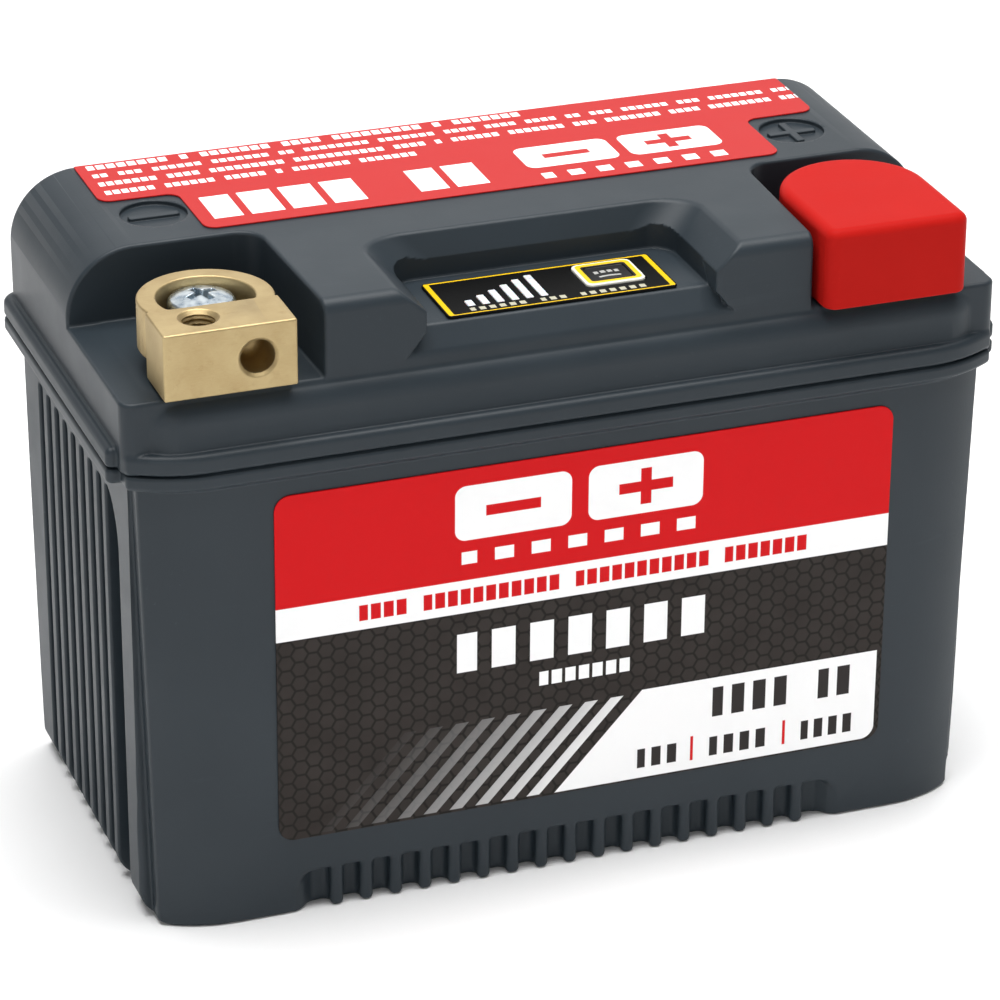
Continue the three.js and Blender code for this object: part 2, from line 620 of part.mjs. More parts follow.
function terminalCap() {
  const wall = CAP.wall;
  const outer = union([
    prismZ(capPlan(0), [CAP.bottom, CAP_TOP - 1]),
    prismZ(capPlan(1), [CAP.bottom, CAP_TOP]),
  ]);
  return outer.subtract(prismZ(capPlan(wall), [CAP.bottom - 1, CAP_TOP - wall - 0.3]));
}

// ---------------------------------------------------------------------------------------------- labels

// A wide back part over the full depth of the lid behind the polarity signs, and a narrower front part between them.
function topLabel() {
  const half = new THREE.Path();
  half.moveTo(56.2, 1.3);
  half.quadraticCurveTo(58.8, 1.3, 58.9, 3.8);
  half.lineTo(59, 17.8);
  half.quadraticCurveTo(59.1, 20.5, 61.8, 20.5);
  half.lineTo(71.8, 20.8);
  half.quadraticCurveTo(74.3, 20.8, 74.3, 23.3);
  half.lineTo(74.2, 39.8);
  half.lineTo(73.7, 40.3);
  return prismZ(symmetric(half), [LID_TOP + LABEL_GAP, LID_TOP + LABEL_GAP + LABEL_THICK]);
}

function frontLabel() {
  const [x0, x1] = FRONT_LABEL;
  const half = FRONT_LABEL_HEIGHT / 2;
  return prismY(roundedRectangle([x0, x1], [-half, half], 3.2), [-LABEL_THICK, 0]);
}

// ---------------------------------------------------------------------------------------------- inside the case

const cellWindows = (z, radius) =>
  CELL_COLUMNS.flatMap((x) => CELL_ROWS.map((y) => cylinder(x, y, z, radius, CELL_SIDES)));

function cellHolder(z0, pocket) {
  const [hx, hy] = HOLDER;
  const plate = prismZ(roundedRectangle([-hx, hx], [-hy, hy], 4), [z0, z0 + HOLDER_THICK]);
  return cut(plate, [...cellWindows(pocket, CELL_RADIUS + GAP), ...cellWindows([z0 - 1, z0 + HOLDER_THICK + 1], 8)]);
}

function lowerHolder() {
  const z0 = CELL_BOTTOM - (HOLDER_THICK - HOLDER_GRIP);
  return cellHolder(z0, [CELL_BOTTOM - GAP, z0 + HOLDER_THICK + 1]);
}

function upperHolder() {
  const z0 = CELL_TOP - HOLDER_GRIP;
  const corners = [-1, 1].flatMap((i) => [-1, 1].map((j) => [i * POST[0], j * POST[1]]));
  const posts = corners.map(([x, y]) => cylinder(x, y, [z0 + 1, POST_TOP], 3, 16));
  const bores = corners.map(([x, y]) => cylinder(x, y, [POST_TOP - POST_BORE, POST_TOP + 1], 1.5, 12));
  return cut(cellHolder(z0, [z0 - 1, CELL_TOP + GAP]).add(union(posts)), bores);
}

// A 26650 cell: shrink-wrapped can with a raised positive cap; odd columns stand upside down.
function cellSolid(x, y, flipped) {
  const profile = [
    [0, 0],
    [CELL_RADIUS, 0],
    [CELL_RADIUS, CELL_LENGTH - 0.8],
    [5.5, CELL_LENGTH - 0.8],
    [5, CELL_LENGTH],
    [0, CELL_LENGTH],
  ];
  const placed = flipped ? profile.map(([r, z]) => [r, CELL_LENGTH - z]).reverse() : profile;
  return turned(x, y, placed.map(([r, z]) => [r, CELL_BOTTOM + z]), CELL_SIDES);
}

// A nickel strap over the given columns, with a weld pad reaching towards each cell.
function strap(columns, z0, padReach) {
  const xs = columns.map((c) => CELL_COLUMNS[c]);
  const plate = prismZ(
    roundedRectangle([Math.min(...xs) - 9, Math.max(...xs) + 9], [-21, 21], 2),
    [z0, z0 + STRAP_THICK],
  );
  const pads = xs.flatMap((x) => CELL_ROWS.map((y) => cylinder(x, y, padReach, 4.5, 10)));
  return union([plate, ...pads]);
}

const LOWER_STRAP_Z = CELL_BOTTOM - (HOLDER_THICK - HOLDER_GRIP) - GAP - STRAP_THICK;
const UPPER_STRAP_Z = CELL_TOP - HOLDER_GRIP + HOLDER_THICK + GAP;
const lowerStrap = (columns) => strap(columns, LOWER_STRAP_Z, [LOWER_STRAP_Z + 0.2, CELL_BOTTOM - GAP]);
const upperStrap = (columns) => strap(columns, UPPER_STRAP_Z, [CELL_TOP + GAP, UPPER_STRAP_Z + 0.6]);

function protectionBoard() {
  const z0 = POST_TOP + GAP;
  const top = z0 + BMS_THICK;
  const [hx, hy] = HOLDER;
  const parts = [
    box([-hx, hx], [-hy, hy], [z0, top]),
    box([-48, -34], [-22, -8], [top - 0.5, top + 2.5]),
    box([-26, 20], [-24, -16], [top - 0.5, top + 4]),
    box([-10, 2], [4, 16], [top - 0.5, top + 1.2]),
    box([24, 34], [14, 24], [top - 0.5, top + 5]),
    box([34, 48], [-22, -8], [top - 0.5, top + 2.5]),
  ];
  const corners = [-1, 1].flatMap((i) => [-1, 1].map((j) => [i * POST[0], j * POST[1]]));
  return cut(union(parts), corners.map(([x, y]) => cylinder(x, y, [z0 - 1, top + 1], 1.6, 12)));
}

function boardScrew(x, y) {
  const foot = POST_TOP - POST_BORE + 0.8;
  const seat = POST_TOP + GAP + BMS_THICK + GAP;
  const profile = [
    [0, foot],
    [1.2, foot],
    [1.2, seat],
    [2.6, seat],
    [2.4, seat + 1.2],
    [1.2, seat + 1.8],
    [0, seat + 1.8],
  ];
  return turned(x, y, profile, 12);
}

// A ring lug under a terminal insert and the cable from it to the protection board.
function terminalLead({ x, front }, landing) {
  const y = front + SCREW_Y;
  const lug = cylinder(x, y, LUG, 5.6, 16);
  const inwards = -Math.sign(x);
  const cable = tube(
    [
      [x + inwards * 2, y + 1, LEAD_Z],
      [x + inwards * 8, y + 2, LEAD_Z],
      [(x + landing[0]) / 2, (y + landing[1]) / 2, LEAD_Z + 0.2],
      [landing[0] - inwards * 3, landing[1], LEAD_Z - 0.6],
      [landing[0], landing[1], LEAD_Z - 2.7],
      [landing[0], landing[1], LEAD_Z - 5.1],
    ],
    2,
  );
  return lug.add(cable);
}

function indicatorCable() {
  const route = [
    [20, -20, BOARD_Z - 1.8],
    [22, -16, 105],
    [26, 4, 101],
    [29, 17, 97],
    [29, 19, 93.5],
    [29, 19, 91.3],
  ];
  return tube(route, 1.4);
}

function sealRing() {
  return frameRing(SEAL_OUTER, SEAL_INNER, GAP, [CASE_RIM - SEAL_DEPTH + 0.2, SEAM - 0.1]);
}

// ---------------------------------------------------------------------------------------------- assembly

const battery = new THREE.Group();

function add(name, shape, look) {
  const [color, roughness, metalness] = MATERIALS[look];
  const mesh = new THREE.Mesh(geometryOf(shape), new THREE.MeshStandardMaterial({ color, roughness, metalness }));
  mesh.name = name;
  battery.add(mesh);
  return mesh;
}

add("case", caseBody(), "case_plastic");
add("lid", lidBody(), "case_plastic");
add("lid_seal", sealRing(), "seal_rubber");

for (const [pole, place] of Object.entries(TERMINALS)) {
  add(`${pole}_terminal_block`, terminalBlock(place), "brass");
  add(`${pole}_terminal_washer`, terminalWasher(place), "zinc_steel");
  add(`${pole}_terminal_screw`, terminalScrew(place), "zinc_steel");
  add(`${pole}_terminal_seal`, terminalSeal(place), "seal_rubber");
  add(`${pole}_terminal_insert`, terminalInsert(place), "brass");
}
add("positive_terminal_cap", terminalCap(), "cap_plastic");

add("top_label", topLabel(), "top_label");
const frontLabelMesh = add("front_label", frontLabel(), "front_label");
const lean = Math.atan2(FRONT_DRAFT, CASE_BODY_TOP);
const panelFront = -(WIDTH / 2) + FRONT_INSET + FRONT_DRAFT * (1 - FRONT_LABEL_Z / CASE_BODY_TOP);
frontLabelMesh.rotation.x = lean;
frontLabelMesh.position.set(0, panelFront - LABEL_GAP, FRONT_LABEL_Z);

add("display_panel", displayPanel(), "display_panel");
add("test_button", testButton(), "button_film");
add("test_switch", testSwitch(), "black_plastic");
add("indicator_board", indicatorBoard(), "circuit_board");
for (let i = 0; i < BAR_COUNT; i++) {
  add(`charge_bar_${i + 1}`, barSolid(i, [BOARD_Z + 2.9, DISPLAY_FLOOR + 0.7]), "light_pipe");
  add(`indicator_led_${i + 1}`, indicatorLed(i), "led");
}
add("indicator_cable", indicatorCable(), "lead_black");

CELL_COLUMNS.forEach((x, column) =>
  CELL_ROWS.forEach((y, row) => {
    add(`cell_${column * 2 + row + 1}`, cellSolid(x, y, column % 2 === 0), "cell_can");
  }),
);
add("lower_cell_holder", lowerHolder(), "holder_plastic");
add("upper_cell_holder", upperHolder(), "holder_plastic");
add("lower_strap_left", lowerStrap([0, 1]), "nickel");
add("lower_strap_right", lowerStrap([2, 3]), "nickel");
add("upper_strap_negative", upperStrap([0]), "nickel");
add("upper_strap_middle", upperStrap([1, 2]), "nickel");
add("upper_strap_positive", upperStrap([3]), "nickel");
add("protection_board", protectionBoard(), "circuit_board");
[-1, 1].forEach((i, column) =>
  [-1, 1].forEach((j, row) =>
    add(`board_screw_${column * 2 + row + 1}`, boardScrew(i * POST[0], j * POST[1]), "zinc_steel"),
  ),
);
add("negative_lead", terminalLead(TERMINALS.negative, [-41, -15]), "lead_black");
add("positive_lead", terminalLead(TERMINALS.positive, [41, -15]), "lead_red");

add("base_pad", box([-HOLDER[0], HOLDER[0]], [-31, 31], [FLOOR + 0.2, LOWER_STRAP_Z - 0.2]), "foam");
for (const [name, side] of Object.entries({ left_end_pad: -1, right_end_pad: 1 })) {
  const reach = [side * (HOLDER[0] + 0.4), side * (CAVITY[0] - 0.4)].sort((a, b) => a - b);
  add(name, box(reach, [-30, 30], [FLOOR + 0.4, 80]), "foam");
}

export default battery;
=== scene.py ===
"""Looks of a lithium motorcycle battery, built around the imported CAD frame.

The case, lid, cap, terminal blocks, screws and button are meshed from distance fields with true fillets. The
labels and the display are drawn by shader nodes. Lengths are in mm in the fields and in m in Blender.
"""

import math

import bpy
import numpy as np
from mathutils import Euler, Matrix, Vector


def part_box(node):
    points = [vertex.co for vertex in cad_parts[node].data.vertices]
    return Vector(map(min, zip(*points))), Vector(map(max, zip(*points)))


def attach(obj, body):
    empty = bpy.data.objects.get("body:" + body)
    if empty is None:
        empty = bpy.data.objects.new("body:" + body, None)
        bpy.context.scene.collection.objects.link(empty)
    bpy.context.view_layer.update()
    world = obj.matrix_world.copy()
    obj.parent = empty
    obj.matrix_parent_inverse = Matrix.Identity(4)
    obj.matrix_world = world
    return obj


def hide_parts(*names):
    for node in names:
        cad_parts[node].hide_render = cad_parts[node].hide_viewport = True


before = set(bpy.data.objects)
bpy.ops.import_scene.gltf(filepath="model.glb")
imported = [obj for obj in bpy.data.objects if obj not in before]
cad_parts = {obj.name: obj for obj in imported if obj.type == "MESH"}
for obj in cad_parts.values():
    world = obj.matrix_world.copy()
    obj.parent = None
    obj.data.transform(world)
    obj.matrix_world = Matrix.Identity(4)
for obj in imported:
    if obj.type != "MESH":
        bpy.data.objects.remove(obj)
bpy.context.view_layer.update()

MM = 0.001


def box_mm(node):
    """Lowest and highest corner of a CAD node, in millimetres."""
    low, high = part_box(node)
    return np.array(low) / MM, np.array(high) / MM


# ---------------------------------------------------------------- sizes, in mm

LID_LOW, LID_HIGH = box_mm("lid")
HALF_LENGTH = LID_HIGH[0]
HALF_WIDTH = LID_HIGH[1]
SEAM = LID_LOW[2]
LID_TOP = LID_HIGH[2]
CASE_RIM = box_mm("case")[1][2]
PLATFORM = LID_TOP - 15

# Flange outline, shared by the case and the lid.
BOW_START = 72
BOW_RADIUS = 25.5
BOW_END = 86.9
EAR_Y = -35.1
EAR_CORNER = 1.4
BACK_CORNER = 4

# Case.
SIDE_INSET = 2.1
SIDE_DRAFT = 1.9
FRONT_INSET = 1.1
FRONT_DRAFT = 1.0
DRAFT_TOP = 94
CASE_FLANGE_LOW = 93.7
BASE_CORNER = 6
SLOT_PITCH = 6.1
SLOT_WIDTH = 3.1
SLOT_COUNT = 8
SLOT_BACK = 30.8
SLOT_TOP = 86
SLOT_FLOOR = 81.2
BAY = (-26, -17.8)
BAY_CURVE = (8, 12)
SKIRT_HALF = 57
SKIRT_HEIGHT = 8.5
SKIRT_DEPTH = 2.7
SKIRT_PITCH = 6.03
SKIRT_RIBS = 17
SKIRT_RIB_WIDTH = 2.6
CAVITY = (78.5, 38.6)
LOW_CAVITY = 35.6
LOW_CAVITY_TOP = 12
CASE_FLOOR = 3

# Lid.
LID_FLANGE = 3.9
LID_BODY = HALF_LENGTH - SIDE_INSET
LID_CORNER = 13.5
LID_BACK = 41.3
SHOULDER_HALF = 84.8
SHOULDER_END = 9
SHOULDER_FRONT = -41.4
SHOULDER_RADIUS = 5
BRIDGE_FRONT = -39.1
BRIDGE_FILLET = 2.7
NOTCH_BACK = -1.3
NOTCH_INNER = 48.6
NOTCH_SPREAD = 1.4 / 38
NOTCH_FILLET = 5
DISPLAY_FLOOR = 117.3
DISPLAY_LEDGE = 121.2
DISPLAY_HALF = 28.6
DISPLAY_CORNER = 5
DISPLAY_TOP_HALF = 34
DISPLAY_FRONT = -35.6
DISPLAY_LIP = 112.8
DISPLAY_BACK = -15.2
DISPLAY_TOP_BACK = -12.6
SIGN_X = 66
SIGN_Y = 12.7
SIGN_RADIUS = 6.5
SIGN_DEPTH = 0.9
SIGN_BAR = (5.0, 0.85)
LID_WALL = 2.6
HOLLOW_BACK = 38.5
HOLLOW_TOP = 116.5
PEG = (26, -27)
PEG_LOW = 112.6
INSERT_BORE = 4.8

# Terminals.
BLOCK_WIDTH = 25.4
BAR_DEPTH = 11.9
BOSS_RADIUS = 12.8
BOSS_Y = 15.8
BOSS_UNDER = 3.4
WELL_RADIUS = 9.2
WELL_FLOOR = 6.6
SCREW_Y = 18.5
SCREW_HEAD = 6.4
SCREW_RISE = 0.4
SCREW_BORE = 3.4
SHANK_RADIUS = 3.0
SHANK_LOW = 100.2
WASHER = (3.5, 6.1)
HOLE_RADIUS = 3.3
THREAD_PITCH = 1.0
THREAD_DEPTH = 0.35
TOP_HOLE = (-4.1, 6.6)
FRONT_HOLE = (5.2, 6.5)

# Labels and display.
LABEL_THICKNESS = 0.25
LABEL_BEVEL = 0.1
FRONT_LABEL_CORNER = 3.2
BARS = ["charge_bar_%d" % number for number in range(1, 7)]


# ---------------------------------------------------------------- distance fields

def rounded_rectangle(x, y, x_range, y_range, radius):
    """Distance to a rectangle with round corners, negative inside."""
    cx, cy = sum(x_range) / 2, sum(y_range) / 2
    hx, hy = (x_range[1] - x_range[0]) / 2, (y_range[1] - y_range[0]) / 2
    dx = np.abs(x - cx) - (hx - radius)
    dy = np.abs(y - cy) - (hy - radius)
    outside = np.hypot(np.maximum(dx, 0), np.maximum(dy, 0))
    return outside + np.minimum(np.maximum(dx, dy), 0) - radius


def centred(x, y, half_x, half_y, radius):
    """Distance to a round-cornered rectangle in the middle."""
    return rounded_rectangle(x, y, (-half_x, half_x), (-half_y, half_y), radius)


def plan_of(node, x, y, grow, radius):
    """Distance to the plan of a CAD node's box, grown on all sides."""
    low, high = box_mm(node)
    return rounded_rectangle(x, y, (low[0] - grow, high[0] + grow), (low[1] - grow, high[1] + grow), radius)


def both(a, b, radius=0):
    """Intersection of two fields, with the edge between them rounded."""
    if not radius:
        return np.maximum(a, b)
    corner = np.hypot(np.maximum(a + radius, 0), np.maximum(b + radius, 0))
    return np.minimum(np.maximum(a, b), -radius) + corner


def either(a, b, radius=0):
    """Union of two fields, with a fillet in the corner between them."""
    return -both(-a, -b, radius)


def without(a, b, radius=0):
    """The first field with the second cut away, the new edge rounded."""
    return both(a, -b, radius)


def slab(value, low, high):
    return np.maximum(low - value, value - high)


def corner_arc(u, v, u_start, v_start, u_radius, v_radius):
    """Quarter-round end of a profile, past u_start and v_start."""
    reach = np.hypot(np.maximum(u - u_start, 0) / u_radius, np.maximum(v - v_start, 0) / v_radius)
    return (reach - 1) * min(u_radius, v_radius)


def slope(u, v, start, end):
    """Distance to the line from start to end, positive on its right-hand side."""
    du, dv = end[0] - start[0], end[1] - start[1]
    return ((u - start[0]) * dv - (v - start[1]) * du) / math.hypot(du, dv)


# ---------------------------------------------------------------- meshing

def graded(start, *steps):
    """Grid lines from start on, through pairs of a step and the place up to which it holds."""
    lines = []
    for step, end in zip(steps[::2], steps[1::2]):
        lines.append(np.linspace(start, end, max(2, math.ceil((end - start) / step) + 1))[:-1])
        start = end
    return np.concatenate(lines + [[start]])


def gradient(field, points, step=0.02):
    x, y, z = points.T
    slopes = [
        field(x + step, y, z) - field(x - step, y, z),
        field(x, y + step, z) - field(x, y - step, z),
        field(x, y, z + step) - field(x, y, z - step),
    ]
    normals = np.stack(slopes, 1)
    return normals / np.maximum(np.linalg.norm(normals, axis=1, keepdims=True), 1e-9)


def crossings(values, axis):
    """Grid edges on which the field changes sign: lower end, share of the edge, leaving the solid or not."""
    low = np.take(values, range(values.shape[axis] - 1), axis)
    high = np.take(values, range(1, values.shape[axis]), axis)
    cells = np.argwhere((low < 0) != (high < 0))
    a = low[tuple(cells.T)]
    b = high[tuple(cells.T)]
    return cells, a / (a - b), a < 0


def contour(field, lines):
    """Dual contouring of a field on a graded grid: vertices in mm and quads that face outwards."""
    x, y, z = lines
    values = field(x[:, None, None], y[None, :, None], z[None, None, :])
    values = np.broadcast_to(values, (len(x), len(y), len(z)))
    shape = values.shape
    keys, points, quads = [], [], []
    for axis in range(3):
        cells, share, leaves = crossings(values, axis)
        lowest = np.array([0 if k == axis else 1 for k in range(3)])
        inside_grid = np.all((cells >= lowest) & (cells < np.array(shape) - 1), axis=1)
        cells, share, leaves = cells[inside_grid], share[inside_grid], leaves[inside_grid]
        place = np.stack([lines[k][cells[:, k]] for k in range(3)], 1)
        span = lines[axis][cells[:, axis] + 1] - lines[axis][cells[:, axis]]
        place[:, axis] += share * span
        ring = []
        side_1, side_2 = [k for k in range(3) if k != axis]
        for step_1, step_2 in ((0, 0), (1, 0), (1, 1), (0, 1)):
            owner = cells.copy()
            owner[:, side_1] -= step_1
            owner[:, side_2] -= step_2
            ring.append(np.ravel_multi_index(owner.T, shape))
            keys.append(ring[-1])
            points.append(place)
        ring = np.stack(ring, 1)
        flip = leaves == (axis == 1)
        ring[flip] = ring[flip][:, ::-1]
        quads.append(ring)
    keys = np.concatenate(keys)
    points = np.concatenate(points)
    normals = gradient(field, points)
    used, index = np.unique(keys, return_inverse=True)
    count = np.bincount(index)

    def summed(weights):
        return np.bincount(index, weights)

    middle = np.stack([summed(points[:, k]) for k in range(3)], 1) / count[:, None]
    offset = np.einsum("ij,ij->i", normals, points - middle[index])
    matrix = np.empty((len(used), 3, 3))
    vector = np.empty((len(used), 3))
    for i in range(3):
        vector[:, i] = summed(normals[:, i] * offset)
        for j in range(3):
            matrix[:, i, j] = summed(normals[:, i] * normals[:, j])
    matrix += 0.03 * np.eye(3) * count[:, None, None]
    moved = np.linalg.solve(matrix, vector[:, :, None])[:, :, 0]
    corner = np.stack(np.unravel_index(used, shape), 1)
    low = np.stack([lines[k][corner[:, k]] for k in range(3)], 1)
    high = np.stack([lines[k][corner[:, k] + 1] for k in range(3)], 1)
    vertices = np.clip(middle + moved, low, high)
    faces = np.searchsorted(used, np.concatenate(quads))
    return vertices, faces


def add_object(name, data):
    made = bpy.data.objects.new(name, data)
    bpy.context.scene.collection.objects.link(made)
    return made


def merge_flats(piece, angle):
    """Joins the faces that lie in one plane within that angle, in degrees."""
    thin = piece.modifiers.new("flats", "DECIMATE")
    thin.decimate_type = "DISSOLVE"
    thin.angle_limit = math.radians(angle)
    graph = bpy.context.evaluated_depsgraph_get()
    merged = bpy.data.meshes.new_from_object(piece.evaluated_get(graph))
    piece.modifiers.clear()
    piece.data = merged
    merged.name = piece.name
    return merged


def piece_from_field(name, field, lines, material, flat_angle=0.15):
    """A Blender object meshed from a field, with flat areas merged and exact normals."""
    vertices, faces = contour(field, lines)
    mesh = bpy.data.meshes.new(name)
    mesh.from_pydata(vertices * MM, [], faces.tolist())
    piece = add_object(name, mesh)
    merged = merge_flats(piece, flat_angle)
    merged.shade_smooth()
    co = np.empty(len(merged.vertices) * 3)
    merged.vertices.foreach_get("co", co)
    merged.normals_split_custom_set_from_vertices(gradient(field, co.reshape(-1, 3) / MM))
    merged.materials.clear()
    merged.materials.append(material)
    print("mesh", name, len(vertices), "->", len(merged.vertices), "vertices", len(merged.polygons), "faces")
    return piece


# ---------------------------------------------------------------- case

def flange_outline(x, y):
    """Straight front with bowed ends, a step back to each side pillar, round back corners."""
    end = np.abs(x)
    reach = BOW_START + BOW_RADIUS
    bow = rounded_rectangle(x, y, (-reach, reach), (-HALF_WIDTH, HALF_WIDTH + BOW_RADIUS), BOW_RADIUS)
    bow = both(both(bow, end - BOW_END, 0.5), y - HALF_WIDTH + BACK_CORNER)
    front = rounded_rectangle(x, y, (-HALF_LENGTH, HALF_LENGTH), (EAR_Y, HALF_WIDTH), EAR_CORNER)
    back = rounded_rectangle(x, y, (-HALF_LENGTH, HALF_LENGTH), (EAR_Y, HALF_WIDTH), BACK_CORNER)
    sides = np.where(y < 0, front, back)
    return either(bow, sides, 0.5)


def side_slots(x, y, z):
    end = np.abs(x)
    first = SLOT_BACK - SLOT_WIDTH / 2
    number = np.clip(np.round((first - y) / SLOT_PITCH), 0, SLOT_COUNT - 1)
    slot = np.abs(y - (first - number * SLOT_PITCH)) - SLOT_WIDTH / 2
    slot = both(slot, z - SLOT_TOP, 0.8)
    bay = slab(y, *BAY)
    curve = corner_arc(-y, z, -BAY[0] - BAY_CURVE[0], SLOT_TOP - BAY_CURVE[1], *BAY_CURVE)
    bay = np.maximum(both(bay, z - SLOT_TOP, 0.8), curve)
    return both(np.minimum(slot, bay), SLOT_FLOOR - end, 0.5)


def skirt_recess(x, y, z):
    wall = HALF_WIDTH - FRONT_INSET - FRONT_DRAFT - SKIRT_DEPTH
    end = corner_arc(np.abs(x), z, SKIRT_HALF - 5, SKIRT_HEIGHT - 5, 5, 5)
    taper = np.abs(x) - SKIRT_HALF + (HALF_WIDTH - FRONT_INSET - np.abs(y)) * 1.1
    end = both(end, taper / 1.5, 0.8)
    half_count = (SKIRT_RIBS - 1) / 2
    number = np.clip(np.round(x / SKIRT_PITCH), -half_count, half_count)
    rib = SKIRT_RIB_WIDTH / 2 - np.abs(x - number * SKIRT_PITCH)
    return both(end, both(wall - np.abs(y), rib, 1.2), 0.4)


def case_field(x, y, z):
    height = np.clip(z / DRAFT_TOP, 0, 1)
    across = 1 - (SIDE_INSET + SIDE_DRAFT * (1 - height)) / HALF_LENGTH
    along = 1 - (FRONT_INSET + FRONT_DRAFT * (1 - height)) / HALF_WIDTH
    body = flange_outline(x / across, y / along)
    foot = HALF_LENGTH - SIDE_INSET - SIDE_DRAFT
    base = corner_arc(np.abs(x), -z, foot - BASE_CORNER, -BASE_CORNER, BASE_CORNER, BASE_CORNER)
    body = np.maximum(both(body, -z, 1.0), base)
    body = np.maximum(body, z - CASE_RIM)
    flange = both(flange_outline(x, y), CASE_FLANGE_LOW - z, 1.0)
    flange = both(flange, z - CASE_RIM, 0.8)
    solid = either(body, flange, 0.8)
    solid = without(solid, side_slots(x, y, z), 0.55)
    solid = without(solid, skirt_recess(x, y, z), 1.1)
    cells = centred(x, y, *CAVITY, 3)
    low = centred(x, y, CAVITY[0], LOW_CAVITY, 3)
    solid = without(solid, np.maximum(cells, LOW_CAVITY_TOP - z), 0.4)
    return without(solid, both(low, CASE_FLOOR - z, 1), 0.4)


def build_case(material):
    lines = (
        graded(-90, 0.36, -82, 0.9, -77.5, 3.8, -58.5, 0.6, 58.5, 3.8, 77.5, 0.9, 82, 0.36, 90),
        graded(-43.9, 0.35, -33.4, 1.24, -27.2, 0.45, -16.4, 0.5, 32.0, 1.25, 37, 0.46, 43.9),
        graded(-0.5, 0.42, 10, 6.2, 72, 1.0, 85, 0.4, 87, 1.35, 92.4, 0.3, 97.2),
    )
    return piece_from_field("battery_case", case_field, lines, material)


# ---------------------------------------------------------------- lid

def notch(x, y, z):
    """Both terminal notches: open at the front and the end, round in plan at their inner corner."""
    inner = NOTCH_INNER + (y - BRIDGE_FRONT) * NOTCH_SPREAD - np.abs(x)
    plan = both(inner, y - NOTCH_BACK, NOTCH_FILLET)
    return both(plan, PLATFORM - z, 0.6)


def display_recess(x, y, z):
    end = np.abs(x)
    flare = np.maximum(DISPLAY_FLOOR - z, 0) * 0.8
    sides = end - DISPLAY_HALF - flare
    well = both(both(sides, y - DISPLAY_BACK, DISPLAY_CORNER), DISPLAY_FLOOR - z, 0.3)
    side_slope = slope(end, z, (DISPLAY_HALF, DISPLAY_LEDGE), (DISPLAY_TOP_HALF, LID_TOP))
    back_slope = slope(y, z, (DISPLAY_BACK, DISPLAY_LEDGE), (DISPLAY_TOP_BACK, LID_TOP))
    rim = both(both(side_slope, back_slope, DISPLAY_CORNER + 1), DISPLAY_LEDGE - z, 0.2)
    front = slope(y, z, (DISPLAY_FRONT, DISPLAY_FLOOR), (BRIDGE_FRONT, DISPLAY_LIP))
    ramp = np.maximum(np.maximum(-front, sides), DISPLAY_LIP - 1 - z)
    return either(np.minimum(well, rim), ramp, 0.4)


def signs(x, y, z):
    """Round sunk fields with a raised plus on the right and a minus on the left."""
    dx = np.abs(x) - SIGN_X
    dy = y - SIGN_Y
    disc = both(np.hypot(dx, dy) - SIGN_RADIUS, LID_TOP - SIGN_DEPTH - z, 0.2)
    length, half = SIGN_BAR
    level = centred(dx, dy, length, half, 0.4)
    upright = centred(dx, dy, half, length, 0.4)
    bars = np.where(x > 0, np.minimum(level, upright), level)
    bars = both(bars, z - LID_TOP + 0.25, 0.2)
    return without(disc, bars, 0.1)


def lid_field(x, y, z):
    flange = both(flange_outline(x, y), SEAM - z, 0.9)
    flange = both(flange, z - SEAM - LID_FLANGE, 1.4)
    body = (-LID_BODY, LID_BODY)
    ear = rounded_rectangle(x, y, body, (EAR_Y + 0.8, LID_BACK), 0.9)
    low = np.where(y < 0, ear, rounded_rectangle(x, y, body, (EAR_Y, LID_BACK), 2.5))
    low = both(low, z - PLATFORM, 0.5)
    shoulder = rounded_rectangle(x, y, (-SHOULDER_HALF, SHOULDER_HALF), (SHOULDER_FRONT, 10), SHOULDER_END)
    shoulder = both(shoulder, z - PLATFORM, SHOULDER_RADIUS)
    profile = rounded_rectangle(x, z, body, (0, LID_TOP), LID_CORNER)
    upper = both(both(profile, BRIDGE_FRONT - y, BRIDGE_FILLET), y - LID_BACK, 0.9)
    upper = without(upper, notch(x, y, z), 0.7)
    walls = either(np.minimum(low, upper), shoulder, 0.5)
    walls = np.maximum(walls, SEAM - z)
    solid = either(flange, walls, 0.5)
    solid = without(solid, display_recess(x, y, z), 0.5)
    solid = without(solid, signs(x, y, z), 0.15)
    return without(solid, lid_hollow(x, y, z), 0.5)


def lid_hollow(x, y, z):
    """Space under the lid's skin, with its openings for bars, button stem and terminal inserts."""
    low = rounded_rectangle(x, y, (-80.5, 80.5), (-37.5, HOLLOW_BACK), 3)
    low = np.maximum(low, z - PLATFORM + LID_WALL + 0.4)
    back = rounded_rectangle(x, y, (-72, 72), (NOTCH_BACK + LID_WALL, HOLLOW_BACK), 3)
    back = np.maximum(back, z - LID_TOP + LID_WALL)
    bridge = rounded_rectangle(x, y, (-46, 46), (DISPLAY_FRONT + 1.6, 10), 3)
    bridge = np.maximum(bridge, z - DISPLAY_FLOOR + LID_WALL)
    hollow = np.minimum(np.minimum(low, back), bridge)
    behind = rounded_rectangle(x, y, (-80, 80), (NOTCH_BACK + LID_WALL, HOLLOW_BACK), 1)
    hollow = np.minimum(hollow, both(behind, z - HOLLOW_TOP, 1))
    hollow = without(hollow, inner_posts(x, y, z), 0.3)
    return np.minimum(hollow, lid_openings(x, y, z))


def inner_posts(x, y, z):
    """Bosses round the terminal inserts, and the pegs that carry the indicator board."""
    reach = np.hypot(np.abs(x) - PEG[0], y - PEG[1])
    posts = np.minimum(reach - 2.2, reach - 1.0 + np.maximum(PEG_LOW - z, 0))
    posts = np.maximum(posts, PEG_LOW - z)
    for pole in ("negative", "positive"):
        cx, front, _, _ = terminal_place(pole)
        boss = np.maximum(np.hypot(x - cx, y - front - SCREW_Y) - 8, 99 - z)
        posts = np.minimum(posts, boss)
    return posts


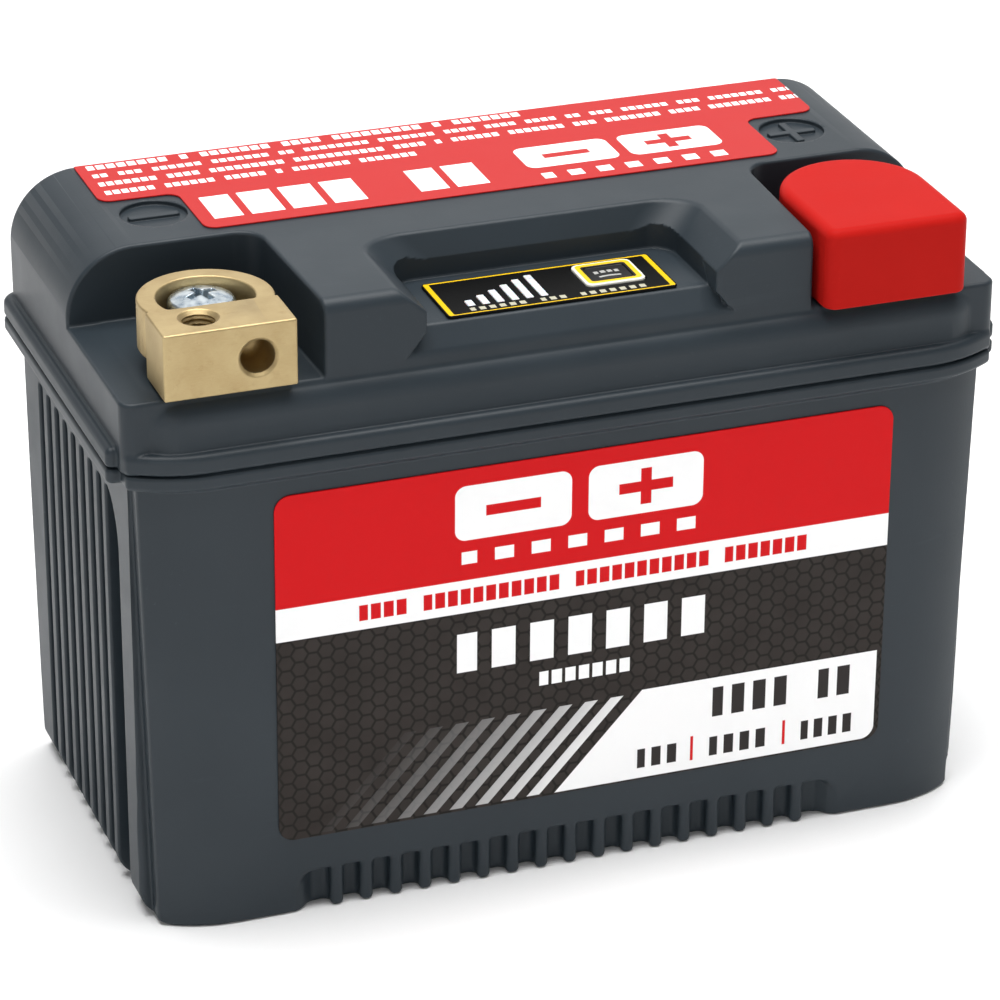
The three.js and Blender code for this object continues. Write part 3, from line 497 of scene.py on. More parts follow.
def lid_openings(x, y, z):
    """Windows for the bars, the pocket and bore of the test button, and the bores of the terminal inserts."""
    low, high = box_mm("test_button")
    grow = 0.3
    pocket = plan_of("test_button", x, y, grow, 1.7)
    openings = np.maximum(pocket, slab(z, DISPLAY_FLOOR - 1.1, DISPLAY_FLOOR + 1))
    cx, cy, _ = (low + high) / 2
    openings = np.minimum(openings, np.maximum(np.hypot(x - cx, y - cy) - 1.9, slab(z, 112, DISPLAY_FLOOR)))
    for bar in BARS:
        window = plan_of(bar, x, y, grow, 0.4)
        openings = np.minimum(openings, np.maximum(window, slab(z, DISPLAY_FLOOR - 5, DISPLAY_FLOOR + 1)))
    for pole in ("negative", "positive"):
        cx, front, _, _ = terminal_place(pole)
        bore = np.hypot(x - cx, y - front - SCREW_Y) - INSERT_BORE
        openings = np.minimum(openings, np.maximum(bore, slab(z, SEAM - 1, PLATFORM + 1)))
    return openings


def build_lid(material):
    lines = (
        graded(
            -90, 0.36, -80.6, 0.76, -73, 0.5, -59, 0.42, -46, 2.0, -36, 0.5, 36, 2.0, 46, 0.42, 59,
            0.5, 73, 0.76, 80.6, 0.36, 90,
        ),
        graded(-43.9, 0.35, -33, 0.5, -11, 1.0, -8, 0.36, 1, 1.0, 6, 0.4, 19.6, 2.3, 38, 0.4, 43.9),
        graded(96.6, 0.3, 102, 0.8, 104.5, 0.42, 118.5, 0.4, 124.2, 0.2, 126.4),
    )
    return piece_from_field("battery_lid", lid_field, lines, material)


# ---------------------------------------------------------------- terminals

def terminal_place(pole):
    """Middle and front of a terminal block, and the heights of its underside and top."""
    low, high = box_mm(pole + "_terminal_block")
    return (low[0] + high[0]) / 2, low[1], low[2], high[2]


def thread(radius, along):
    """Radius of a threaded hole as it varies along its axis."""
    groove = np.abs((along / THREAD_PITCH) % 1 - 0.5) * 2
    return radius + THREAD_DEPTH * (groove - 1)


def block_field(place):
    cx, front, base, top = place

    def field(x, y, z):
        dx, dy = x - cx, y - front
        bar = rounded_rectangle(dx, dy, (-BLOCK_WIDTH / 2, BLOCK_WIDTH / 2), (0, BAR_DEPTH), 0.45)
        bar = both(bar, base - z, 0.45)
        boss = both(np.hypot(dx, dy - BOSS_Y) - BOSS_RADIUS, base + BOSS_UNDER - z, 0.4)
        boss = both(boss, -dy + 1, 0)
        solid = both(either(bar, boss, 0.15), z - top, 0.4)
        well = both(np.hypot(dx, dy - BOSS_Y) - WELL_RADIUS, BAR_DEPTH - dy, 0.4)
        well = both(well, base + WELL_FLOOR - z, 0.5)
        solid = without(solid, well, 0.35)
        solid = without(solid, np.hypot(dx, dy - SCREW_Y) - SCREW_BORE, 0.2)
        reach = np.hypot(dx - TOP_HOLE[0], dy - TOP_HOLE[1])
        hole = np.minimum(reach - thread(HOLE_RADIUS, z - base), reach - HOLE_RADIUS - 0.6 + (top - z))
        solid = without(solid, hole, 0.08)
        reach = np.hypot(dx - FRONT_HOLE[0], z - base - FRONT_HOLE[1])
        drilled = both(reach - HOLE_RADIUS, dy - BAR_DEPTH + 2.5, 2.0)
        hole = np.minimum(drilled, reach - HOLE_RADIUS - 0.6 + dy)
        return without(solid, hole, 0.08)

    return field


def build_block(pole, material):
    cx, front, base, top = place = terminal_place(pole)
    lines = (
        graded(cx - 13.2, 0.24, cx + 13.2),
        graded(front - 0.5, 0.24, front + 29),
        graded(base - 0.5, 0.22, top + 0.5),
    )
    return piece_from_field(pole + "_block", block_field(place), lines, material)


def screw_field(place, seat, head):
    cx, front, base, top = place
    middle = front + SCREW_Y

    def field(x, y, z):
        dx, dy = x - cx, y - middle
        reach = np.hypot(dx, dy)
        dome = np.sqrt(dx ** 2 + dy ** 2 + (z - head + 16) ** 2) - 16
        cap = both(both(reach - SCREW_HEAD, dome, 0.7), seat - z, 0.3)
        turn = math.radians(24)
        u = np.abs(dx * math.cos(turn) + dy * math.sin(turn))
        v = np.abs(dy * math.cos(turn) - dx * math.sin(turn))
        depth = head - z
        arm_u = np.maximum(u - 3.3 + depth * 0.7, v - 0.75 + depth * 0.1)
        arm_v = np.maximum(v - 3.3 + depth * 0.7, u - 0.75 + depth * 0.1)
        recess = np.maximum(either(arm_u, arm_v, 0.5), head - 2.2 - z)
        cap = without(cap, recess, 0.15)
        shank = both(reach - thread(SHANK_RADIUS, z), SHANK_LOW - z, 0.5)
        return np.minimum(cap, np.maximum(shank, z - seat - 0.5))

    return field


def build_screw(pole, material):
    cx, front, base, top = place = terminal_place(pole)
    low, high = box_mm(pole + "_terminal_screw")
    seat = base + WELL_FLOOR + 1.5
    y = front + SCREW_Y
    lines = (
        graded(cx - 6.9, 0.2, cx + 6.9),
        graded(y - 6.9, 0.2, y + 6.9),
        graded(low[2] - 0.4, 0.3, seat - 0.6, 0.2, high[2] + 0.9),
    )
    return piece_from_field(pole + "_screw", screw_field(place, seat, high[2] + SCREW_RISE), lines, material)


def build_washer(pole, material):
    """Split spring washer under the screw head."""
    cx, front, base, top = terminal_place(pole)
    low, high = box_mm(pole + "_terminal_washer")
    y = front + SCREW_Y

    def field(px, py, pz):
        dx, dy = px - cx, py - y
        reach = np.hypot(dx, dy)
        ring = both(both(reach - WASHER[1], WASHER[0] - reach, 0.2), slab(pz, low[2], high[2]), 0.2)
        gap = np.maximum(np.abs(dy + dx * 0.4) - 0.5, -dx)
        return without(ring, gap, 0.1)

    lines = (
        graded(cx - 6.5, 0.3, cx + 6.5),
        graded(y - 6.5, 0.3, y + 6.5),
        graded(low[2] - 0.4, 0.15, high[2] + 0.4),
    )
    return piece_from_field(pole + "_washer", field, lines, material)


def cap_field(low, high):
    cx = (low[0] + high[0]) / 2
    half = (high[0] - low[0]) / 2
    centre = high[1] - half + 0.3
    wall = 1.2

    def plan(dx, y, inset):
        sides = (inset - half, half - inset)
        front = rounded_rectangle(dx, y, sides, (low[1] + inset, centre + half), 2.6 - inset)
        back = np.hypot(dx, np.maximum(y - centre, 0) * half / (half - 0.3)) - half + inset
        return np.where(y > centre, back, front)

    def field(x, y, z):
        outer = both(plan(x - cx, y, 0), z - high[2], 1.9)
        outer = both(outer, low[2] - z, 0.6)
        inner = both(plan(x - cx, y, wall), z - high[2] + wall + 0.3, 1.0)
        return without(outer, inner, 0.25)

    return field


def build_cap(material):
    low, high = box_mm("positive_terminal_cap")
    lines = (
        graded(low[0] - 0.5, 0.3, low[0] + 4.2, 1.0, high[0] - 4.2, 0.3, high[0] + 0.5),
        graded(low[1] - 0.5, 0.3, low[1] + 4.2, 0.6, high[1] + 0.5),
        graded(low[2] - 0.5, 0.25, low[2] + 1.5, 1.8, high[2] - 3, 0.22, high[2] + 0.4),
    )
    return piece_from_field("positive_cap_shell", cap_field(low, high), lines, material)


# ---------------------------------------------------------------- display

def panel_field(low, high):
    def field(x, y, z):
        plate = plan_of("display_panel", x, y, 0, 0.8)
        plate = both(plate, slab(z, low[2], high[2]), 0.12)
        window = plan_of("test_button", x, y, 0.25, 1.6)
        for bar in BARS:
            window = np.minimum(window, plan_of(bar, x, y, 0.12, 0.3))
        return without(plate, window, 0.05)

    return field


def build_panel(material):
    low, high = box_mm("display_panel")
    lines = (
        graded(low[0] - 0.4, 0.2, high[0] + 0.4),
        graded(low[1] - 0.4, 0.2, high[1] + 0.4),
        graded(low[2] - 0.3, 0.1, high[2] + 0.3),
    )
    return piece_from_field("charge_panel", panel_field(low, high), lines, material)


def build_bar(node, material):
    low, high = box_mm(node)

    def field(x, y, z):
        return both(plan_of(node, x, y, 0, 0.25), slab(z, low[2], high[2]), 0.2)

    lines = (
        graded(low[0] - 0.3, 0.15, high[0] + 0.3),
        graded(low[1] - 0.3, 0.15, low[1] + 0.9, 0.6, high[1] - 0.9, 0.15, high[1] + 0.3),
        graded(low[2] - 0.3, 0.6, high[2] - 0.6, 0.12, high[2] + 0.3),
    )
    return piece_from_field(node.replace("charge_bar", "light_pipe"), field, lines, material)


def build_button(material):
    """Membrane button: a plate with a raised rim and a low dome in the middle, on its stem."""
    low, high = box_mm("test_button")
    cx, cy, _ = (low + high) / 2

    def field(x, y, z):
        plate = plan_of("test_button", x, y, 0, 1.4)
        inside = rounded_rectangle(x, y, (low[0] + 1.9, high[0] - 1.9), (low[1] + 1.7, high[1] - 1.7), 0.9)
        sunk = both(inside, high[2] - 0.35 - z, 0.15)
        dome = np.sqrt((x - cx) ** 2 + (y - cy) ** 2 + (z - high[2] + 20.2) ** 2) - 20
        pad = both(inside + 0.5, dome, 0.1)
        plate = both(plate, slab(z, DISPLAY_FLOOR - 0.3, high[2]), 0.3)
        plate = without(plate, without(sunk, pad), 0.12)
        stem = np.maximum(np.hypot(x - cx, y - cy) - 1.5, slab(z, low[2], DISPLAY_FLOOR))
        return np.minimum(plate, stem)

    lines = (
        graded(low[0] - 0.4, 0.16, high[0] + 0.4),
        graded(low[1] - 0.4, 0.16, high[1] + 0.4),
        graded(low[2] - 0.4, 0.5, DISPLAY_FLOOR - 0.6, 0.1, high[2] + 0.3),
    )
    return piece_from_field("test_button_key", field, lines, material)


# ---------------------------------------------------------------- labels

def outline_plate(name, outline, material):
    """A label from its outline in the XY plane, in mm, standing on z = 0, with a soft upper edge."""
    mesh = bpy.data.meshes.new(name)
    count = len(outline)
    thickness, bevel = LABEL_THICKNESS, LABEL_BEVEL
    levels = ((0, 0), (0, thickness - bevel), (bevel * 0.3, thickness - bevel * 0.3), (bevel, thickness))
    points = np.array(outline)
    ahead = np.roll(points, -1, 0) - points
    behind = points - np.roll(points, 1, 0)
    tangent = sum(way / np.linalg.norm(way, axis=1)[:, None] for way in (ahead, behind))
    inward = np.stack([-tangent[:, 1], tangent[:, 0]], 1)
    inward /= np.linalg.norm(inward, axis=1)[:, None]
    rings = [np.column_stack([points + inward * inset, np.full(count, z)]) for inset, z in levels]
    vertices = np.concatenate(rings) * MM
    faces = [list(range(count))[::-1], list(range((len(levels) - 1) * count, len(levels) * count))]
    for level in range(len(levels) - 1):
        for i in range(count):
            j = (i + 1) % count
            a, b = level * count, (level + 1) * count
            faces.append([a + i, a + j, b + j, b + i])
    mesh.from_pydata(vertices, [], faces)
    mesh.materials.append(material)
    return add_object(name, mesh)


def rounded_path(corners, steps=8):
    """Outline through (x, y, radius) corners, each rounded by its radius."""
    path = []
    for i, (x, y, radius) in enumerate(corners):
        here = np.array((x, y), float)
        back = np.array(corners[i - 1][:2]) - here
        ahead = np.array(corners[(i + 1) % len(corners)][:2]) - here
        back /= np.linalg.norm(back)
        ahead /= np.linalg.norm(ahead)
        half = math.acos(back @ ahead) / 2
        middle = (back + ahead) / np.linalg.norm(back + ahead)
        centre = here + middle * radius / math.sin(half)
        start = here + back * radius / math.tan(half) - centre
        end = here + ahead * radius / math.tan(half) - centre
        first = math.atan2(start[1], start[0])
        sweep = (math.atan2(end[1], end[0]) - first + math.pi) % math.tau - math.pi
        for k in range(steps + 1):
            angle = first + sweep * k / steps
            path.append((centre[0] + radius * math.cos(angle), centre[1] + radius * math.sin(angle)))
    return path


def build_front_label(material):
    low, high = box_mm("front_label")
    lean = math.atan2(FRONT_DRAFT, DRAFT_TOP)
    half_width = (high[0] - low[0]) / 2
    half_height = (high[2] - low[2]) / 2 / math.cos(lean)
    middle_z = (low[2] + high[2]) / 2
    corners = [
        (right * half_width, up * half_height, FRONT_LABEL_CORNER)
        for right, up in ((-1, -1), (1, -1), (1, 1), (-1, 1))
    ]
    piece = outline_plate("front_label_film", rounded_path(corners), material)
    panel = -HALF_WIDTH + FRONT_INSET + FRONT_DRAFT * (1 - middle_z / DRAFT_TOP)
    piece.rotation_euler = Euler((math.pi / 2 + lean, 0, 0))
    piece.location = Vector(((low[0] + high[0]) / 2, panel - 0.1, middle_z)) * MM
    return piece


def build_top_label(material):
    low, high = box_mm("top_label")
    right = [
        (58.9, low[1], 2.6), (59.1, 20.5, 2.6), (high[0], 20.8, 2.6), (high[0], high[1], 0.5),
    ]
    left = [(-x, y, radius) for x, y, radius in reversed(right)]
    piece = outline_plate("top_label_film", rounded_path(right + left), material)
    piece.location = (0, 0, low[2] * MM)
    return piece


# ---------------------------------------------------------------- shader numbers

class Value:
    """A number in a shader. Combining it with others adds Math nodes to its tree."""

    def __init__(self, tree, socket):
        self.tree = tree
        self.socket = socket

    def apply(self, operation, *others, clamp=False):
        node = self.tree.nodes.new("ShaderNodeMath")
        node.operation = operation
        node.use_clamp = clamp
        for slot, operand in zip(node.inputs, (self,) + others):
            if isinstance(operand, Value):
                self.tree.links.new(operand.socket, slot)
            else:
                slot.default_value = operand
        return Value(self.tree, node.outputs[0])

    def __add__(self, other):
        return self.apply("ADD", other)

    def __sub__(self, other):
        return self.apply("SUBTRACT", other)

    def __mul__(self, other):
        return self.apply("MULTIPLY", other)

    def __truediv__(self, other):
        return self.apply("DIVIDE", other)

    def minus_from(self, number):
        return (self - number) * -1

    def max(self, other):
        return self.apply("MAXIMUM", other)

    def min(self, other):
        return self.apply("MINIMUM", other)

    def abs(self):
        return self.apply("ABSOLUTE")

    def fract(self):
        return self.apply("FRACT")

    def clamp(self):
        return self.apply("ADD", 0.0, clamp=True)

    def ramp(self, start, end):
        """0 at start, 1 at end, straight between."""
        return ((self - start) / (end - start)).clamp()


INK_EDGE = 0.09


def covered(distance):
    """1 inside a shape, 0 outside it, from its distance in mm."""
    return distance.ramp(INK_EDGE / 2, -INK_EDGE / 2)


def box_shape(u, v, us, vs, radius=0.0):
    du = (u - sum(us) / 2).abs() - ((us[1] - us[0]) / 2 - radius)
    dv = (v - sum(vs) / 2).abs() - ((vs[1] - vs[0]) / 2 - radius)
    if not radius:
        return du.max(dv)
    du = du.max(0)
    dv = dv.max(0)
    return (du * du + dv * dv).apply("SQRT") - radius


def plain_line(u, v, start, pitch, counts, vs, share=0.78):
    """Plain blocks in place of a line of words, given as block counts, with one empty place between words."""
    block = (((u - start) / pitch).fract() - share / 2).abs() * pitch - share * pitch / 2
    reach = None
    place = 0
    for count in counts:
        word = (u - (start + place * pitch) - pitch * count / 2).abs() - pitch * (count / 2 - 0.1)
        reach = word if reach is None else reach.min(word)
        place += count + 1
    height = (v - sum(vs) / 2).abs() - (vs[1] - vs[0]) / 2
    return block.max(reach).max(height)


def nearest(shapes):
    """Union of several distances."""
    result = shapes[0]
    for shape in shapes[1:]:
        result = result.min(shape)
    return result


def sign_pad(u, v, us, vs, radius, *bars):
    """A pad with a sign left open in it. The sign is made of bars."""
    sign = nearest([box_shape(u, v, *bar) for bar in bars])
    return box_shape(u, v, us, vs, radius).max(sign.minus_from(0))


def honeycomb(u, v, pitch):
    """Distance from the nearest cell wall of a honeycomb with columns of cells, in mm."""
    tall = pitch
    wide = pitch * math.sqrt(3)
    best = None
    for shift_u, shift_v in ((0, 0), (wide / 2, tall / 2)):
        cu = (((u + shift_u) / wide).fract() - 0.5) * wide
        cv = (((v + shift_v) / tall).fract() - 0.5) * tall
        cu = cu.abs()
        cv = cv.abs()
        away = (cu * (math.sqrt(3) / 2) + cv * 0.5).max(cv)
        best = away if best is None else best.min(away)
    return best.minus_from(pitch / 2)


# ---------------------------------------------------------------- materials

def linear(red, green, blue):
    """A colour as seen, 0 to 255, as the shader's linear values."""
    shares = [channel / 255 for channel in (red, green, blue)]
    return [s / 12.92 if s <= 0.04045 else ((s + 0.055) / 1.055) ** 2.4 for s in shares] + [1.0]


class Look:
    """A material while it is being built."""

    def __init__(self, name, roughness=0.5, metallic=0.0):
        self.material = bpy.data.materials.new(name)
        self.material.use_nodes = True
        self.tree = self.material.node_tree
        self.surface = self.tree.nodes["Principled BSDF"]
        self.surface.inputs["Roughness"].default_value = roughness
        self.surface.inputs["Metallic"].default_value = metallic
        place = self.tree.nodes.new("ShaderNodeTexCoord").outputs["Object"]
        scale = self.tree.nodes.new("ShaderNodeVectorMath")
        scale.operation = "SCALE"
        scale.inputs["Scale"].default_value = 1 / MM
        self.tree.links.new(place, scale.inputs[0])
        self.place = scale.outputs[0]
        self.height = None

    def axes(self):
        """Place on the object, in mm."""
        split = self.tree.nodes.new("ShaderNodeSeparateXYZ")
        self.tree.links.new(self.place, split.inputs[0])
        return [Value(self.tree, output) for output in split.outputs]

    def noise(self, size, detail=3.0, stretch=(1, 1, 1), roughness=0.5):
        """Noise with features of that size in mm, stretched along each axis."""
        mapping = self.tree.nodes.new("ShaderNodeMapping")
        mapping.inputs["Scale"].default_value = [1 / (size * s) for s in stretch]
        self.tree.links.new(self.place, mapping.inputs["Vector"])
        node = self.tree.nodes.new("ShaderNodeTexNoise")
        node.inputs["Scale"].default_value = 1.0
        node.inputs["Detail"].default_value = detail
        node.inputs["Roughness"].default_value = roughness
        self.tree.links.new(mapping.outputs[0], node.inputs["Vector"])
        return Value(self.tree, node.outputs["Fac"])

    def mix(self, factor, a, b):
        """Colour a where factor is 0, b where it is 1. A colour is a list or a socket."""
        node = self.tree.nodes.new("ShaderNodeMix")
        node.data_type = "RGBA"
        self.connect(factor, node.inputs["Factor"])
        self.connect(a, node.inputs[6])
        self.connect(b, node.inputs[7])
        return node.outputs[2]

    def connect(self, source, slot):
        if isinstance(source, Value):
            self.tree.links.new(source.socket, slot)
        elif isinstance(source, bpy.types.NodeSocket):
            self.tree.links.new(source, slot)
        else:
            slot.default_value = source

    def set(self, **inputs):
        """Principled inputs by name, with _ for a space."""
        for name, source in inputs.items():
            self.connect(source, self.surface.inputs[name.replace("_", " ")])

    def relief(self, height, depth, strength=1.0):
        """Adds bump: height 1 stands depth mm above height 0."""
        node = self.tree.nodes.new("ShaderNodeBump")
        node.inputs["Distance"].default_value = depth * MM
        node.inputs["Strength"].default_value = strength
        self.connect(height, node.inputs["Height"])
        if self.height is not None:
            self.tree.links.new(self.height, node.inputs["Normal"])
        self.height = node.outputs[0]
        self.tree.links.new(self.height, self.surface.inputs["Normal"])


def moulded_plastic(name, dark, light, shine, roughness=0.46, grain=0.012):
    """Satin moulded plastic: soft colour change, fine grain, scattered dust and faint rubbed patches."""
    look = Look(name)
    cloud = look.noise(38, 3)
    colour = look.mix(cloud.ramp(0.3, 0.7), dark, light)
    dust = look.noise(1.1, 2).ramp(0.70, 0.80)
    dust = dust * look.noise(16, 2).ramp(0.45, 0.7)
    pale = [min(1.0, channel * 1.7 + 0.02) for channel in light[:3]] + [1.0]
    colour = look.mix(dust * 0.35, colour, pale)
    rubbed = look.noise(22, 4, (1.6, 1, 0.8)).ramp(0.5, 0.75)
    scratches = look.noise(1.6, 2, (9, 1, 1)).ramp(0.62, 0.72) * rubbed
    colour = look.mix(scratches * 0.12, colour, pale)
    look.set(Base_Color=colour)
    look.set(Roughness=(look.noise(9, 4) * 0.10 + rubbed * 0.05 + (roughness - 0.06)))
    look.set(Specular_IOR_Level=shine)
    look.relief(look.noise(0.45, 2), grain)
    look.relief(look.noise(14, 2), 0.03)
    return look.material


def brass():
    """Satin machined brass: fine milling lines, slight tarnish and small dents."""
    look = Look("machined_brass", metallic=1.0)
    milling = look.noise(0.5, 3, (2.2, 0.6, 0.6), 0.7)
    cloud = look.noise(7, 4).ramp(0.35, 0.7)
    colour = look.mix(cloud, linear(172, 150, 108), linear(186, 166, 124))
    tarnish = look.noise(2.6, 5).ramp(0.56, 0.76)
    colour = look.mix(tarnish * 0.35, colour, linear(150, 122, 80))
    colour = look.mix(milling.ramp(0.35, 0.75) * 0.16, colour, linear(214, 202, 166))
    look.set(Base_Color=colour)
    look.set(Roughness=milling * 0.16 + cloud * 0.05 + 0.42)
    look.relief(milling, 0.02)
    look.relief(look.noise(1.3, 4).ramp(0.62, 0.8), -0.04)
    return look.material


def zinc():
    """Zinc-plated steel with a bluish passivation and a mottled sheen."""
    look = Look("zinc_plate", metallic=1.0)
    mottle = look.noise(1.8, 4)
    colour = look.mix(mottle.ramp(0.35, 0.65), linear(150, 164, 176), linear(208, 216, 220))
    stain = look.noise(3.4, 3).ramp(0.55, 0.75)
    colour = look.mix(stain * 0.3, colour, linear(176, 170, 140))
    look.set(Base_Color=colour, Roughness=mottle * 0.22 + 0.18)
    look.relief(look.noise(0.4, 3), 0.012)
    return look.material


def film(look, roughness=0.36, shine=0.12):
    """Surface of a printed and laminated film."""
    look.set(Roughness=look.noise(12, 3) * 0.08 + (roughness - 0.04))
    look.set(Specular_IOR_Level=shine)
    look.relief(look.noise(6, 2), 0.012)


RED = linear(203, 9, 16)
WHITE = linear(247, 247, 247)
INK = linear(46, 42, 41)


def front_label_print():
    """Red field with a battery sign, white band, dark honeycomb field with fading bars and a white flag."""
    look = Look("front_label_print")
    low, high = box_mm("front_label")
    u, v, _ = look.axes()
    u = u + (low[0] + high[0]) / 2
    v = v + (low[2] + high[2]) / 2
    wall = honeycomb(u, v, 3.05)
    shade = look.noise(9, 2).ramp(0.3, 0.7)
    cell = look.mix(shade, linear(43, 38, 35), linear(51, 46, 43))
    comb = look.mix(wall.ramp(0.10, 0.36), linear(26, 23, 20), cell)
    lean = u - (v - 16) * 0.915
    step = (lean + 53.1) / 5.3
    stroke = ((step.fract() - 0.25).abs() - 0.25) * 3.9
    stroke = stroke.max((v - 26.5).abs() - 9.4).max((lean + 29.3).abs() - 23.5)
    strength = lean.ramp(-58, -6)
    strength = strength * strength
    colour = look.mix(covered(stroke) * strength, comb, linear(236, 236, 236))
    flag = ((lean + 4.7) * -0.7071).max(box_shape(u, v, (-30, 63.9), (10, 36.5))).max(
        box_shape(u, v, (-30, 63.9), (16.9, 60), 2.8)
    )
    colour = look.mix(covered(flag), colour, WHITE)
    colour = look.mix(v.ramp(59.6, 59.7), colour, WHITE)
    colour = look.mix(v.ramp(66.55, 66.65), colour, RED)
    light_lines = (
        (-24.9, 7.8, (7,), (46.9, 55.2), 0.62),
        (-7.6, 2.8, (7,), (41.2, 44.2), 0.76),
        (-24.0, 7.4, (7,), (70.0, 72.6), 0.52),
    )
    pads = (
        sign_pad(u, v, (-24.6, -1.2), (75, 86.4), 2.2, ((-18.4, -7.4), (79.6, 81.8))),
        sign_pad(
            u, v, (2.2, 25.6), (75, 86.4), 2.2, ((8.4, 19.4), (79.6, 81.8)), ((12.8, 15.0), (76.9, 84.5))
        ),
    )
    light = nearest([plain_line(u, v, *row) for row in light_lines] + list(pads))
    colour = look.mix(covered(light), colour, WHITE)
    red_line = plain_line(u, v, -43.9, 2.56, (4, 11, 11, 7), (61.5, 64.8))
    colour = look.mix(covered(red_line), colour, RED)
    dark_lines = (
        (28.5, 4.5, (4, 2), (27.8, 34.3), 0.6),
        (13.0, 3.3, (3,), (19.1, 23.3), 0.6),
        (28.2, 3.4, (4,), (19.1, 23.3), 0.6),
        (47.8, 3.1, (4,), (19.1, 23.3), 0.6),
    )
    colour = look.mix(covered(nearest([plain_line(u, v, *row) for row in dark_lines])), colour, INK)
    ticks = box_shape(u, v, (24.5, 25.1), (18.8, 24.2)).min(box_shape(u, v, (44.1, 44.7), (18.8, 24.2)))
    colour = look.mix(covered(ticks), colour, RED)
    look.set(Base_Color=colour)
    film(look)
    return look.material


def top_label_print():
    """Light red field with lines of plain blocks, a bold line and a battery sign."""
    look = Look("top_label_print")
    u, v, _ = look.axes()
    lines = (
        (-72.4, 2.1, (8, 1, 7, 4, 9, 1, 7), (37.2, 39.4), 0.8),
        (-72.3, 1.72, (2, 3, 6, 7, 2, 8, 7, 4, 4, 4, 2, 3, 6, 3, 7, 4), (33, 34.8)),
        (-72.3, 1.72, (7, 4, 9, 11, 4, 1, 6, 7, 3, 7, 4, 8, 7), (28.4, 30.4)),
        (-72.3, 1.72, (6, 6, 5, 1, 7, 7), (23.8, 25.8)),
        (-56.8, 8.3, (4, 2), (5.4, 16.6), 0.8),
        (9.8, 6.0, (7,), (3.8, 6.6), 0.5),
    )
    pads = (
        sign_pad(u, v, (9.2, 28.6), (9.6, 20.4), 2.0, ((14, 23.6), (13.9, 16.1))),
        sign_pad(
            u, v, (31, 50.4), (9.6, 20.4), 2.0, ((35.6, 45.2), (13.9, 16.1)), ((39.3, 41.5), (11.4, 18.6))
        ),
    )
    light = nearest([plain_line(u, v, *row) for row in lines] + list(pads))
    colour = look.mix(covered(light), linear(176, 34, 33), WHITE)
    look.set(Base_Color=colour)
    film(look, 0.42, 0.12)
    return look.material


def display_print():
    """Glossy black film with a yellow frame and a line of plain pale blocks."""
    look = Look("display_print")
    low, high = box_mm("display_panel")
    u, v, _ = look.axes()
    frame_line = box_shape(u, v, (low[0] + 0.3, high[0] - 0.3), (low[1] + 0.25, high[1] - 0.25), 0.5)
    inside = box_shape(u, v, (low[0] + 1.3, high[0] - 1.3), (low[1] + 0.6, high[1] - 0.7), 0.4)
    border = frame_line.max(inside.minus_from(0))
    colour = look.mix(covered(border), linear(13, 13, 13), linear(222, 180, 24))
    words = plain_line(u, v, -18.4, 2.0, (6, 3, 7), (-33.9, -32.5), 0.6)
    colour = look.mix(covered(words) * 0.8, colour, linear(196, 192, 170))
    look.set(Base_Color=colour, Specular_IOR_Level=0.05)
    look.set(Roughness=look.noise(5, 3) * 0.12 + 0.36)
    look.relief(look.noise(3, 2), 0.01)
    return look.material


def button_print():
    """White rim, yellow ring and a black middle with plain pale marks."""
    look = Look("button_print")
    low, high = box_mm("test_button")
    cx, cy, _ = (low + high) / 2
    u, v, z = look.axes()
    u = u - cx
    v = v - cy
    half_x, half_y = (high[0] - low[0]) / 2, (high[1] - low[1]) / 2

    def ring(inset, radius):
        us, vs = (inset - half_x, half_x - inset), (inset - half_y, half_y - inset)
        return covered(box_shape(u, v, us, vs, radius))

    colour = look.mix(ring(0.55, 1.1), linear(224, 222, 212), linear(236, 192, 18))
    colour = look.mix(ring(1.45, 0.7), colour, linear(20, 20, 21))
    marks = plain_line(u, v, -2.7, 1.4, (4,), (0.3, 1.5), 0.7)
    marks = marks.min(box_shape(u, v, (-2.2, 2.2), (-1.4, -0.9)))
    colour = look.mix(covered(marks) * 0.7, colour, linear(200, 200, 196))
    colour = look.mix(z.ramp(DISPLAY_FLOOR + 0.6, DISPLAY_FLOOR + 0.3), colour, linear(30, 30, 31))
    look.set(Base_Color=colour, Specular_IOR_Level=0.35)
    look.set(Roughness=look.noise(2.5, 3) * 0.1 + 0.28)
    look.relief(look.noise(1.5, 2), 0.008)
    return look.material


def light_pipe():
    """Milky light guide."""
    look = Look("milky_acrylic", roughness=0.3)
    colour = look.mix(look.noise(1.5, 3).ramp(0.3, 0.7), linear(196, 200, 204), linear(226, 228, 230))
    look.set(Base_Color=colour, Subsurface_Weight=0.2, Subsurface_Scale=0.001)
    look.set(Roughness=look.noise(0.8, 2) * 0.1 + 0.24)
    return look.material


def speckled(name, dark, light, size, roughness, grain, metallic=0.0):
    """Plain technical material with colour change and a fine grain."""
    look = Look(name, metallic=metallic)
    spread = look.noise(size, 4)
    look.set(Base_Color=look.mix(spread.ramp(0.35, 0.65), linear(*dark), linear(*light)))
    look.set(Roughness=look.noise(size * 0.6, 3) * 0.14 + (roughness - 0.07))
    look.relief(look.noise(size * 0.2, 3), grain)
    return look.material


def circuit_board():
    """Green solder mask over a grid of copper tracks."""
    look = Look("circuit_board_mask")
    u, v, _ = look.axes()
    tracks = (((u + v * 0.5) / 2.54).fract() - 0.5).abs().ramp(0.10, 0.06)
    tracks = tracks.max(((v / 2.54).fract() - 0.5).abs().ramp(0.10, 0.06) * look.noise(9, 1).ramp(0.45, 0.55))
    colour = look.mix(tracks, linear(14, 68, 38), linear(30, 104, 58))
    look.set(Base_Color=colour, Roughness=look.noise(4, 3) * 0.1 + 0.25)
    look.relief(tracks, 0.03)
    return look.material


